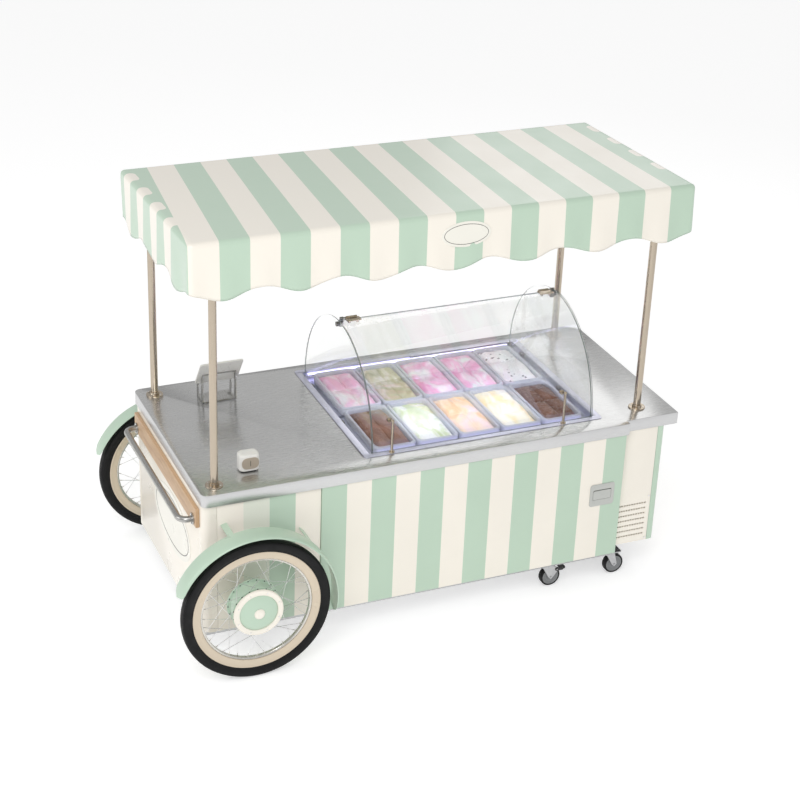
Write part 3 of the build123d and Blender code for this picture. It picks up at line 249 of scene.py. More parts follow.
def banded_paint(name, start, end, colours):
    """Unlike stripes side by side, from start to end along X."""
    n = Nodes(name)
    along = n.math("DIVIDE", n.math("SUBTRACT", n.axes()[0], start), end - start)
    stops = [(i / len(colours), colour) for i, colour in enumerate(colours)]
    n.link(n.ramp(along, stops, constant=True), "Base Color")
    n.link(n.range(n.noise(9.0), 0.28, 0.42), "Roughness")
    n.set(Coat_Weight=0.2, Coat_Roughness=0.15)
    n.bump(n.noise(240.0, 2.0), 0.05, 0.0006)
    return n.material


def brushed(name, colour, grain=(1.5, 90, 90), rough=0.3, depth=0.25):
    """Metal with fine brush lines; the grain is long along the axis with the small scale."""
    n = Nodes(name)
    lines = n.noise(14.0, 4.0, n.stretch(grain))
    cloudy = n.noise(2.2, 3.0, n.stretch(tuple(0.6 if g < 5 else 1.6 for g in grain)))
    tint = n.blend(n.range(lines, 0, 1), shade(colour, 0.9), shade(colour, 1.07))
    patchy = n.blend(n.range(cloudy, 0, 0.35), tint, shade(colour, 0.82))
    n.link(patchy, "Base Color")
    n.link(n.range(lines, rough - 0.06, rough + 0.1), "Roughness")
    n.set(Metallic=1.0, Anisotropic=0.4)
    n.bump(lines, depth, 0.0004)
    return n.material


def polished(name, colour, rough=0.16):
    n = Nodes(name)
    n.link(varied(n, colour, 0.05, 12.0), "Base Color")
    n.link(n.range(n.noise(40.0), rough - 0.05, rough + 0.08), "Roughness")
    n.set(Metallic=1.0)
    return n.material


def rubber(name, colour=(0.005, 0.005, 0.0055)):
    """Moulded rubber: dusty in random patches, with a fine grain."""
    n = Nodes(name)
    dust = n.range(n.noise(14.0, 5.0), 0, 0.4)
    n.link(n.blend(dust, colour, shade(colour, 2.0)), "Base Color")
    n.set(Specular_IOR_Level=0.22)
    n.link(n.range(n.noise(30.0), 0.42, 0.62), "Roughness")
    n.bump(n.noise(700.0, 2.0), 0.2, 0.0008)
    return n.material


def plastic(name, colour, rough=0.35):
    n = Nodes(name)
    n.link(varied(n, colour, 0.02, 8.0), "Base Color")
    n.link(n.range(n.noise(60.0), rough - 0.04, rough + 0.06), "Roughness")
    n.bump(n.noise(900.0, 2.0), 0.05, 0.0004)
    return n.material


def oak(name):
    """Light oak with grain along Y: growth rings, pores and a satin lacquer."""
    n = Nodes(name)
    rings = n.wave(7.0, 3.5, n.stretch((26, 1.1, 9)), "X")
    pores = n.noise(30.0, 5.0, n.stretch((60, 2.0, 60)))
    base = n.ramp(rings, [(0.0, (0.50, 0.31, 0.17)), (0.55, (0.60, 0.40, 0.235)),
                          (1.0, (0.66, 0.46, 0.285))])
    n.link(n.blend(n.range(pores, 0.0, 0.45, 0.5, 0.75), base, (0.36, 0.21, 0.11)), "Base Color")
    n.link(n.range(pores, 0.4, 0.55), "Roughness")
    n.set(Coat_Weight=0.15, Coat_Roughness=0.3)
    n.bump(pores, 0.25, 0.0008)
    return n.material


def clear_glass(name, tint=(0.90, 0.97, 0.96), alpha=0.16):
    n = Nodes(name)
    n.link(n.range(n.noise(3.0), 0.0, 0.03), "Roughness")
    n.set(Base_Color=tint, Alpha=alpha, IOR=1.5, Transmission_Weight=1.0)
    return n.material


def glass_edge(name):
    """Ground edge of the glass, which looks dark."""
    n = Nodes(name)
    n.link(varied(n, (0.13, 0.16, 0.15), 0.2, 20.0), "Base Color")
    n.set(Roughness=0.12, Alpha=0.85, Coat_Weight=0.6)
    return n.material


def lamp(name, colour, strength):
    n = Nodes(name)
    n.link(varied(n, colour, 0.03, 30.0), "Base Color")
    n.set(Emission_Color=colour, Emission_Strength=strength, Roughness=0.4)
    return n.material


def awning(name, left, length, back):
    """Coated awning cloth: green and cream stripes that fan a little towards the back, and short
    cream stripes that hang over the ends."""
    n = Nodes(name)
    x, y, _ = n.axes()
    along = n.math("DIVIDE", n.math("SUBTRACT", x, left), length)
    along = n.math("MINIMUM", n.math("MAXIMUM", along, 0.0), 0.99999)
    deep = n.math("DIVIDE", n.math("ADD", y, CANOPY_DEPTH / 2), CANOPY_DEPTH)
    deep = n.math("MINIMUM", n.math("MAXIMUM", deep, 0.0), 1.0)
    spread = n.math("MULTIPLY", along, n.math("ADD", deep, TOP_STRIPES))
    green = n.math("FLOORED_MODULO", n.math("FLOOR", n.math("SUBTRACT", spread, deep)), 2)
    # distance from the nearer end, and from the middle of the nearest cream end stripe
    ended = n.math("MULTIPLY", n.math("MINIMUM", along, n.math("SUBTRACT", 1.0, along)), length)
    across = n.math("SUBTRACT", back - END_START, y)
    wrapped = n.math("FLOORED_MODULO", across, 2 * END_STRIPE)
    aside = n.math("ABSOLUTE", n.math("SUBTRACT", wrapped, END_STRIPE / 2))
    corner = 0.022
    past_end = n.math("MAXIMUM", n.math("SUBTRACT", ended, END_WRAP - corner), 0.0)
    past_side = n.math("MAXIMUM", n.math("SUBTRACT", aside, END_STRIPE / 2 - corner), 0.0)
    reach = n.math("SQRT", n.math("ADD", n.math("POWER", past_end, 2), n.math("POWER", past_side, 2)))
    inside = n.math("LESS_THAN", reach, corner)
    first = n.math("GREATER_THAN", across, 0.0)
    last = n.math("LESS_THAN", across, 7 * END_STRIPE)
    hanging = n.math("MULTIPLY", inside, n.math("MULTIPLY", first, last))
    green = n.math("MULTIPLY", green, n.math("SUBTRACT", 1.0, hanging))
    n.link(n.blend(green, PALE_CREAM, GREEN), "Base Color")
    n.link(n.range(n.noise(6.0), 0.3, 0.42), "Roughness")
    n.set(Coat_Weight=0.35, Coat_Roughness=0.2, Sheen_Weight=0.1)
    weave = n.math("ADD", n.wave(420.0, 0.2, None, "X"), n.wave(420.0, 0.2, None, "Y"))
    n.bump(weave, 0.05, 0.0004)
    return n.material


def gelato(name, colours, flecks=None, gloss=0.38, scale=9.0):
    """Soft ice cream: folded bands of its colours, with tiny crystals, and dark bits if asked for."""
    n = Nodes(name)
    folds = n.noise(scale, 2.0, n.stretch((1.0, 0.55, 1.0)), 1.6)
    stops = [(0.36 + 0.28 * i / max(1, len(colours) - 1), c) for i, c in enumerate(colours)]
    base = n.ramp(folds, stops)
    if flecks:
        node = n.tree.nodes.new("ShaderNodeTexVoronoi")
        node.inputs["Scale"].default_value = 46.0
        node.inputs["Randomness"].default_value = 1.0
        n.tree.links.new(n.place, node.inputs["Vector"])
        picked = n.math("LESS_THAN", node.outputs["Distance"], 0.27)
        some = n.math("GREATER_THAN", n.noise(17.0, 1.0), 0.52)
        base = n.blend(n.math("MULTIPLY", picked, some), base, flecks)
    n.link(base, "Base Color")
    n.link(n.range(n.noise(60.0), gloss - 0.06, gloss + 0.12), "Roughness")
    n.set(Subsurface_Weight=0.12, Subsurface_Radius=(0.01, 0.006, 0.004), Subsurface_Scale=0.4)
    n.bump(n.noise(220.0, 4.0), 0.25, 0.0012)
    return n.material


WORKTOP_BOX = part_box("worktop")
PANEL_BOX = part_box("front_panel")
LEFT_PANEL_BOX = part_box("front_left_panel")
SKIN_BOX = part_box("canopy_skin")
CANOPY_LENGTH = SKIN_BOX[1].x - SKIN_BOX[0].x

GREEN_PAINT = paint("green_paint", GREEN)
HUB_CREAM = paint("hub_cream_paint", PALE_CREAM, 0.3)
RIM_PAINT = paint("rim_cream_paint", RIM_CREAM, 0.3)
LATCH_PAINT = paint("latch_paint", (0.50, 0.51, 0.485), 0.4)
PLAQUE_PAINT = paint("plaque_paint", (0.86, 0.84, 0.76), 0.3)
LINE_PAINT = paint("border_line_paint", (0.045, 0.04, 0.035), 0.4)
BLACK_ENAMEL = paint("black_enamel", (0.02, 0.02, 0.022), 0.35)
PANEL_PAINT = striped_paint("panel_stripes", PANEL_BOX[0].x, PANEL_STRIPE, GREEN, PALE_CREAM)
LEFT_PAINT = banded_paint("left_panel_stripes", LEFT_PANEL_BOX[0].x, LEFT_PANEL_BOX[1].x,
                          [PALE_CREAM, PALE_MINT, GREEN, PALE_CREAM])
TOP_STEEL = brushed("worktop_steel", (0.66, 0.66, 0.655), (1.2, 70, 70), 0.24, 0.03)
FASCIA_STEEL = brushed("plain_steel", (0.64, 0.64, 0.645), (1.5, 90, 90), 0.3)
BAR_STEEL = brushed("bar_steel", (0.46, 0.455, 0.44), (70, 2, 70), 0.26, 0.05)
ALLOY = brushed("profile_alloy", (0.62, 0.625, 0.63), (2, 80, 80), 0.38)
CHAMPAGNE = brushed("champagne_nickel", (0.50, 0.43, 0.345), (60, 60, 1.5), 0.18, 0.03)
DARK_STEEL = brushed("dark_steel", (0.22, 0.215, 0.205), (3, 80, 80), 0.34)
CHROME = polished("chrome", (0.72, 0.72, 0.72))
BAND_STEEL = polished("band_steel", (0.66, 0.64, 0.60), 0.24)
ZINC = polished("zinc_plate", (0.50, 0.50, 0.51), 0.3)
TYRE_RUBBER = rubber("tyre_rubber")
CASTER_GREY = plastic("caster_core", (0.20, 0.205, 0.21))
BLACK_PLASTIC = plastic("black_plastic", (0.018, 0.018, 0.019), 0.4)
WHITE_PLASTIC = plastic("white_plastic", (0.78, 0.77, 0.74), 0.3)
TAUPE_PLASTIC = plastic("taupe_plastic", (0.40, 0.34, 0.27), 0.4)
SCREEN = plastic("screen", (0.02, 0.024, 0.03), 0.08)
PAN_PLASTIC = plastic("pan_plastic", (0.52, 0.54, 0.60), 0.3)
OAK = oak("light_oak")
GLASS_CLEAR = clear_glass("clear_glass")
GLASS_EDGE = glass_edge("glass_edge")
WARM_LAMP = lamp("warm_lamp", (1.0, 0.72, 0.36), 4.0)
COOL_LAMP = lamp("cool_lamp", (0.66, 0.64, 1.0), 2.2)
# Display well steel: its lilac-blue tint is painted cool light on plain grey steel.
WELL_STEEL_PAINTED_COOL_LIGHT = brushed("well_steel_painted_cool_light", (0.74, 0.74, 0.86), (1.5, 60, 60), 0.3)
AWNING = awning("awning_cloth", SKIN_BOX[0].x, CANOPY_LENGTH, CANOPY_DEPTH / 2)


# ---------------------------------------------------------------- mesh helpers
def shape(name, parts, materials, body, stands_for=(), bevel=0.0, angle=35):
    """One piece from (vertices, faces, material number) parts, riding on a body."""
    mesh = bpy.data.meshes.new(name)
    points, faces, numbers = [], [], []
    for vertices, polygons, number in parts:
        base = len(points)
        points += [tuple(v) for v in vertices]
        faces += [[base + i for i in polygon] for polygon in polygons]
        numbers += [number] * len(polygons)
    mesh.from_pydata(points, [], faces)
    mesh.polygons.foreach_set("material_index", numbers)
    return finish_mesh(name, mesh, materials, body, stands_for, bevel, angle)


def finish_mesh(name, mesh, materials, body, stands_for, bevel, angle):
    for material in materials:
        mesh.materials.append(material)
    work = bmesh.new()
    work.from_mesh(mesh)
    bmesh.ops.remove_doubles(work, verts=work.verts, dist=1e-6)
    bmesh.ops.recalc_face_normals(work, faces=work.faces)
    work.to_mesh(mesh)
    work.free()
    obj = bpy.data.objects.new(name, mesh)
    bpy.context.scene.collection.objects.link(obj)
    if bevel:
        apply_bevel(obj, bevel)
    obj.data.shade_smooth()
    obj.data.set_sharp_from_angle(angle=radians(angle))
    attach(obj, body)
    if stands_for:
        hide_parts(*stands_for)
    return obj


def apply_bevel(obj, width):
    modifier = obj.modifiers.new("bevel", "BEVEL")
    modifier.width = width
    modifier.segments = 2
    modifier.limit_method = "ANGLE"
    modifier.angle_limit = radians(40)
    apply_modifiers(obj)


def apply_modifiers(obj):
    graph = bpy.context.evaluated_depsgraph_get()
    mesh = bpy.data.meshes.new_from_object(obj.evaluated_get(graph))
    obj.modifiers.clear()
    obj.data = mesh


def cuboid(low, high):
    x, y, z = zip(low, high)
    points = [(i, j, k) for i in x for j in y for k in z]
    faces = [(0, 1, 3, 2), (4, 6, 7, 5), (0, 4, 5, 1), (2, 3, 7, 6), (0, 2, 6, 4), (1, 5, 7, 3)]
    return points, faces


def lathe(profile, x, y, z, segments=96):
    """Closed (radius, offset along Y) profile turned about an axle along Y."""
    points = []
    for i in range(segments):
        a = 2 * pi * i / segments
        points += [(x + r * cos(a), y + d, z + r * sin(a)) for r, d in profile]
    count = len(profile)
    faces = []
    for i in range(segments):
        here, there = i * count, (i + 1) % segments * count
        for j in range(count):
            k = (j + 1) % count
            faces.append((here + j, here + k, there + k, there + j))
    return points, faces


def tube(path, radius, sides=12):
    """Round bar along a list of points, closed at both ends."""
    path = [Vector(p) for p in path]
    points, faces = [], []
    up = Vector((0, 0, 1))
    for i, p in enumerate(path):
        way = (path[min(i + 1, len(path) - 1)] - path[max(i - 1, 0)]).normalized()
        side = way.cross(up)
        if side.length < 0.05:
            side = way.cross(Vector((0, 1, 0)))
        side.normalize()
        other = way.cross(side)
        points += [p + radius * (cos(2 * pi * k / sides) * side + sin(2 * pi * k / sides) * other)
                   for k in range(sides)]
    for i in range(len(path) - 1):
        for k in range(sides):
            n = (k + 1) % sides
            faces.append((i * sides + k, i * sides + n, (i + 1) * sides + n, (i + 1) * sides + k))
    last = (len(path) - 1) * sides
    faces += [tuple(range(sides)), tuple(range(last, last + sides))]
    return points, faces


def rounded_loop(size_x, size_y, radius, z, arc=6):
    """Points of a rounded rectangle about the origin."""
    points = []
    for quarter, (sx, sy) in enumerate(((1, 1), (-1, 1), (-1, -1), (1, -1))):
        cx, cy = sx * (size_x / 2 - radius), sy * (size_y / 2 - radius)
        for i in range(arc + 1):
            a = pi / 2 * (quarter + i / arc)
            points.append(Vector((cx + radius * cos(a), cy + radius * sin(a), z)))
    return points


def loft(loops, cap_first=True, cap_last=True):
    """Surface through loops with the same number of points."""
    count = len(loops[0])
    points = [p for loop in loops for p in loop]
    faces = []
    for i in range(len(loops) - 1):
        for k in range(count):
            n = (k + 1) % count
            faces.append((i * count + k, i * count + n, (i + 1) * count + n, (i + 1) * count + k))
    if cap_first:
        faces.append(tuple(range(count)))
    if cap_last:
        faces.append(tuple(range((len(loops) - 1) * count, len(loops) * count)))
    return points, faces


def moved(part, offset):
    offset = Vector(offset)
    return [Vector(p) + offset for p in part[0]], part[1]


def refine(node, material, bevel=0.0012, choose=None, more=(), angle=35):
    """A softened copy of a CAD node: bevelled edges, its own material, and more where choose says."""
    source = frame["nodes"][node]
    mesh = source.data.copy()
    mesh.materials.clear()
    work = bmesh.new()
    work.from_mesh(mesh)
    bmesh.ops.remove_doubles(work, verts=work.verts, dist=1e-6)
    bmesh.ops.dissolve_limit(work, angle_limit=radians(1.0), verts=work.verts, edges=work.edges)
    for face in work.faces:
        face.material_index = choose(face.calc_center_median(), face.normal) if choose else 0
    work.to_mesh(mesh)
    work.free()
    return finish_mesh("look_" + node, mesh, [material, *more], source["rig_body"], (node,),
                       bevel, angle)


# ---------------------------------------------------------------- canopy
def canopy():
    """Tensioned cloth over the roof frame: rounded edges and a scalloped valance."""
    length, depth, edge = CANOPY_LENGTH, CANOPY_DEPTH, CANOPY_EDGE
    middle = (SKIN_BOX[0].x + SKIN_BOX[1].x) / 2
    top = SKIN_BOX[1].z - (depth / 2 - edge) * sin(CANOPY_TILT)
    place = Matrix.Translation((middle, 0, top)) @ Matrix.Rotation(-CANOPY_TILT, 4, "X")
    nx, ny, arc = 168, 78, 8
    flat_x, flat_y = length / 2 - edge, depth / 2 - edge

    def border():
        """Points of the flat top's outline, each with its outward direction: (x, y, dx, dy)."""
        points = []
        for i in range(nx + 1):
            points.append((-flat_x + 2 * flat_x * i / nx, -flat_y, 0, -1))
        points += [(flat_x, -flat_y, sin(a), -cos(a)) for a in arc_steps]
        for i in range(ny + 1):
            points.append((flat_x, -flat_y + 2 * flat_y * i / ny, 1, 0))
        points += [(flat_x, flat_y, cos(a), sin(a)) for a in arc_steps]
        for i in range(nx + 1):
            points.append((flat_x - 2 * flat_x * i / nx, flat_y, 0, 1))
        points += [(-flat_x, flat_y, -sin(a), cos(a)) for a in arc_steps]
        for i in range(ny + 1):
            points.append((-flat_x, flat_y - 2 * flat_y * i / ny, -1, 0))
        points += [(-flat_x, -flat_y, -cos(a), -sin(a)) for a in arc_steps]
        return points

    arc_steps = [pi / 2 * i / arc for i in range(1, arc)]

    def hem(x, y, dx, dy):
        """Height of the valance's lower edge, deepest at the middle of each wave."""
        front = -VALANCE - SCALLOP * cos(2 * pi * x / (length / (FRONT_WAVES - 0.17)))
        end = -VALANCE - SCALLOP * cos(2 * pi * y / (depth / (END_WAVES + 0.09)))
        return front + (end - front) * dx * dx

    ring = border()
    rows = 14
    loops = []
    for j in range(rows + 1):
        share = j / rows
        loop = []
        for x, y, dx, dy in ring:
            low = hem(x + dx * edge, y + dy * edge, dx, dy)
            z = low + (-edge - low) * share
            belly = 0.004 * sin(pi * (1 - share) / 2) ** 2 * sin(41 * x + 29 * y)
            loop.append(Vector((x + dx * (edge + belly), y + dy * (edge + belly), z)))
        loops.append(loop)
    for j in range(1, 6):
        a = pi / 2 * j / 6
        loops.append([Vector((x + dx * edge * cos(a), y + dy * edge * cos(a), -edge + edge * sin(a)))
                      for x, y, dx, dy in ring])
    side = loft(loops, False, False)
    grid = [Vector((-flat_x + 2 * flat_x * i / nx, -flat_y + 2 * flat_y * j / ny, 0))
            for j in range(ny + 1) for i in range(nx + 1)]
    squares = [(j * (nx + 1) + i, j * (nx + 1) + i + 1, (j + 1) * (nx + 1) + i + 1,
                (j + 1) * (nx + 1) + i) for j in range(ny) for i in range(nx)]
    last = [Vector((x, y, 0)) for x, y, dx, dy in ring]
    seam = loft([loops[-1], last], False, False)
    parts = [([place @ p for p in part[0]], part[1], 0) for part in (side, seam, (grid, squares))]
    obj = shape("canopy_cloth", parts, [AWNING], "cart", ("canopy_skin",), angle=60)
    thicken = obj.modifiers.new("cloth", "SOLIDIFY")
    thicken.thickness = CANOPY_CLOTH
    thicken.offset = -1
    apply_modifiers(obj)
    return place


# ---------------------------------------------------------------- large wheels
def big_wheel(name, side):
    """Tyre, rim with polished band, wire spokes and drum hub of one large wheel."""
    low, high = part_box(f"{name}_wheel_tyre")
    x, y, z = (low + high) / 2
    radius = high.z - z
    body = f"{name}_wheel"

    def turned(profile, segments=128):
        return lathe([(r, side * d) for r, d in profile], x, y, z, segments)

    rim_r = radius - TYRE_HEIGHT
    band_r = rim_r - RIM_HEIGHT
    inner = band_r - 0.011
    half = 0.0255
    wall = [(rim_r + 0.0005, -0.018), (rim_r + 0.0005, 0.018)]
    bulge = [(rim_r + 0.004 + 0.034 * t, 0.018 + (half - 0.018) * sin(pi / 2 * min(1, 1.6 * t)))
             for t in (0, 0.25, 0.5, 0.75, 1)]
    tread = []
    for i in range(1, 16):
        a = pi * i / 16
        groove = 0.0018 if i in (3, 6, 10, 13) else 0
        tread.append((radius - 0.009 + 0.009 * sin(a) ** 0.8 - groove, half * cos(a) * 0.97))
    profile = wall + bulge + tread + [(r, -d) for r, d in reversed(bulge)]
    shape(f"{name}_tyre", [(*turned(profile, 160), 0)], [TYRE_RUBBER], body,
          (f"{name}_wheel_tyre",), angle=50)

    flange = [(rim_r, -0.018), (rim_r, 0.018), (rim_r - 0.002, 0.0195), (rim_r - 0.006, 0.0195),
              (rim_r - 0.009, 0.0175), (rim_r - 0.024, 0.0145), (band_r + 0.003, 0.0135),
              (band_r, 0.012), (band_r, -0.012), (band_r + 0.003, -0.0135), (rim_r - 0.024, -0.0145),
              (rim_r - 0.009, -0.0175), (rim_r - 0.006, -0.0195), (rim_r - 0.002, -0.0195)]
    band = [(band_r - 0.0003, -0.010), (band_r - 0.0003, 0.010), (band_r - 0.003, 0.0115),
            (inner + 0.002, 0.009), (inner, 0.006), (inner, -0.006), (inner + 0.002, -0.009),
            (band_r - 0.003, -0.0115)]
    parts = [(*turned(flange), 0), (*turned(band), 1)]
    hub_low, hub_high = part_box(f"{name}_wheel_hub")
    near = (hub_low.y if side > 0 else hub_high.y) - y
    rings = [near * side + 0.008, near * side + 0.080]
    for d in rings:
        parts.append((*turned([(DRUM_R + 0.0004, d - 0.004), (DRUM_R + 0.0004, d + 0.004),
                               (DRUM_R + 0.0075, d + 0.0035), (DRUM_R + 0.0085, d + 0.002),
                               (DRUM_R + 0.0085, d - 0.002), (DRUM_R + 0.0075, d - 0.0035)]), 2))
    shape(f"{name}_rim", parts, [RIM_PAINT, BAND_STEEL, GREEN_PAINT], body,
          (f"{name}_wheel_rim",), angle=30)
    wires = []
    for i in range(SPOKES):
        way = 1 if i // 2 % 2 else -1
        at_rim = 2 * pi * i / SPOKES
        at_drum = at_rim + way * SPOKE_LEAN
        aside = way * 0.00195
        foot = Vector((x + (DRUM_R + 0.006) * cos(at_drum), y + side * (rings[i % 2] + aside),
                       z + (DRUM_R + 0.006) * sin(at_drum)))
        head = Vector((x + (inner + 0.003) * cos(at_rim), y + side * aside,
                       z + (inner + 0.003) * sin(at_rim)))
        along = (head - foot).normalized()
        wires.append((*tube([foot, head - along * 0.014], 0.0011, 6), 0))
        wires.append((*tube([head - along * 0.016, head], 0.0022, 8), 1))
        d = rings[i % 2] + 0.0042
        at = Vector((x + (DRUM_R + 0.0045) * cos(at_rim), y + side * d,
                     z + (DRUM_R + 0.0045) * sin(at_rim)))
        wires.append((*tube([at, at + Vector((0, side * 0.0012, 0))], 0.0028, 8), 2))
    shape(f"{name}_spokes", wires, [CHROME, BAND_STEEL, BLACK_PLASTIC], body,
          (f"{name}_wheel_spokes",), angle=30)

    d0 = near * side
    d1 = d0 + 0.092
    drum = [(HUB_BORE_R, d0), (HUB_BORE_R, d1 - 0.01), (0.022, d1 - 0.01), (0.022, d0 + 0.006),
            (DRUM_R - 0.005, d0 + 0.006), (DRUM_R - 0.005, d1), (DRUM_R, d1), (DRUM_R, d1 - 0.006),
            (DRUM_R - 0.002, d1 - 0.008), (DRUM_R - 0.002, d0 + 0.014), (DRUM_R, d0 + 0.012),
            (DRUM_R, d0 + 0.001), (DRUM_R - 0.001, d0)]
    ring = [(0.0, d1 + 0.0002), (0.109, d1 + 0.0002), (0.112, d1 + 0.002), (0.112, d1 + 0.006),
            (0.110, d1 + 0.010), (0.107, d1 + 0.012), (0.090, d1 + 0.0115), (0.087, d1 + 0.0105),
            (0.086, d1 + 0.007), (0.086, d1 + 0.004), (0.0, d1 + 0.004)]
    dome = [(0.0, d1 + 0.0042), (0.0855, d1 + 0.0042), (0.0855, d1 + 0.006)]
    dome += [(0.0855 - 0.057 * t, d1 + 0.006 + 0.0125 * sin(pi / 2 * t) ** 0.8)
             for t in (0.05, 0.15, 0.3, 0.5, 0.7, 0.85, 1.0)] + [(0.0, d1 + 0.0187)]
    cap = [(0.0, d1 + 0.0187), (0.024, d1 + 0.0187), (0.0235, d1 + 0.0215), (0.021, d1 + 0.0245),
           (0.016, d1 + 0.0272), (0.008, d1 + 0.0287), (0.0, d1 + 0.029)]
    parts = [(*turned(drum), 0), (*turned(ring), 1), (*turned(dome), 0), (*turned(cap, 48), 1)]
    for i in range(8):
        a = 2 * pi * (i + 0.5) / 8
        at = Vector((x + 0.0985 * cos(a), y + side * (d1 + 0.0108), z + 0.0985 * sin(a)))
        parts.append((*tube([at, at + Vector((0, side * 0.0022, 0))], 0.0032, 10), 2))
    shape(f"{name}_hub", parts, [GREEN_PAINT, HUB_CREAM, CHROME], body,
          (f"{name}_wheel_hub",), angle=32)


def mudguard(side):
    """Rolled mudguard over one large wheel, with rounded tips, a turned-down lip and two stays."""
    tyre_low, tyre_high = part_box(("front" if side < 0 else "back") + "_wheel_tyre")
    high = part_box("mudguards")[1]
    x, z = (tyre_low.x + tyre_high.x) / 2, (tyre_low.z + tyre_high.z) / 2
    radius = high.z - z
    start, end = FENDER_START, FENDER_END
    width_out = high.y
    width_in = width_out - FENDER_WIDTH
    tip = FENDER_TIP
    steps = 96
    loops = []
    for i in range(steps + 1):
        a = start + (end - start) * i / steps
        cut = 0.0
        for gap in ((end - a) * radius, (a - start) * radius):
            if gap < tip:
                cut = tip - sqrt(tip * tip - (tip - gap) ** 2)
        inner, outer = width_in + cut, width_out - cut
        profile = []
        for t in (0, 0.04, 0.12, 0.35, 0.65, 0.88):
            crown = 0.003 * (abs(2 * t - 1) ** 3)
            profile.append((inner + (outer - 0.006 - inner) * t, radius - crown))
        profile += [(outer - 0.006, radius - 0.0035), (outer - 0.002, radius - 0.006),
                    (outer, radius - 0.0105), (outer - 0.0018, radius - 0.0108),
                    (outer - 0.0040, radius - 0.0078), (outer - 0.008, radius - 0.0062)]
        for t in (0.88, 0.65, 0.35, 0.12, 0.04, 0):
            crown = 0.003 * (abs(2 * t - 1) ** 3)
            profile.append((inner + (outer - 0.008 - inner) * t, radius - crown - 0.0022))
        loops.append([Vector((x + r * cos(a), side * y, z + r * sin(a))) for y, r in profile])
    parts = [(*loft(loops), 0)]
    for angle in STAY_ANGLES:
        turn = Matrix.Translation((x, 0, z)) @ Matrix.Rotation(radians(-angle), 4, "Y")
        r = radius - FENDER_SHEET
        ends = sorted((side * -LEFT_PANEL_BOX[0].y, side * (width_in + FENDER_WIDTH / 2)))
        bar = cuboid((r - STAY[0], ends[0], -STAY[1] / 2), (r, ends[1], STAY[1] / 2))
        parts.append(([turn @ Vector(p) for p in bar[0]], bar[1], 0))
    return parts


def mudguards():
    shape("mudguard_pair", mudguard(-1) + mudguard(1), [GREEN_PAINT], "cart",
          ("mudguards",), angle=38)


# ---------------------------------------------------------------- cold display
def pan_surface(low, high, seed, lumps, rough):
    """Crowned ice cream top between two corners, in soft lumps, as a closed slab."""
    nx, ny = 30, 56
    size_x, size_y = high.x - low.x, high.y - low.y
    cx, cy = (low.x + high.x) / 2, (low.y + high.y) / 2
    corner = 0.022

    def inside(u, v):
        """Square grid point pressed into the rounded corners."""
        px, py = u * (size_x / 2 - corner), v * (size_y / 2 - corner)
        m = max(abs(u), abs(v))
        grow = hypot(u, v) / m if m else 1
        return px + corner * u / grow, py + corner * v / grow

    top, bottom = [], []
    for j in range(ny + 1):
        for i in range(nx + 1):
            u, v = 2 * i / nx - 1, 2 * j / ny - 1
            x, y = inside(u, v)
            edge = min(1.0, 5.0 * min(1 - abs(u), 1 - abs(v)) + 0.02)
            pillow = abs(sin(pi / 2 * (u + 1) * lumps[0])) ** 0.45
            pillow *= abs(sin(pi / 2 * (v + 1) * lumps[1])) ** 0.45
            place = Vector((x * 17, y * 17, seed * 3.7))
            swirl = noise.noise(place) + 0.5 * noise.noise(place * 2.3) + 0.2 * noise.noise(place * 6)
            height = 0.55 * pillow + 0.45 + rough * swirl
            top.append(Vector((cx + x, cy + y, low.z + (high.z - low.z) * edge ** 0.5 * height)))
            bottom.append(Vector((cx + x, cy + y, low.z - 0.01)))
    count = nx + 1
    faces = [(j * count + i, j * count + i + 1, (j + 1) * count + i + 1, (j + 1) * count + i)
             for j in range(ny) for i in range(nx)]
    shift = len(top)
    faces += [tuple(shift + k for k in reversed(face)) for face in faces]
    rim = [i for i in range(count)] + [j * count + nx for j in range(1, ny + 1)]
    rim += [ny * count + i for i in range(nx - 1, -1, -1)] + [j * count for j in range(ny - 1, 0, -1)]
    faces += [(rim[k], rim[k - 1], rim[k - 1] + shift, rim[k] + shift) for k in range(len(rim))]
    return top + bottom, faces


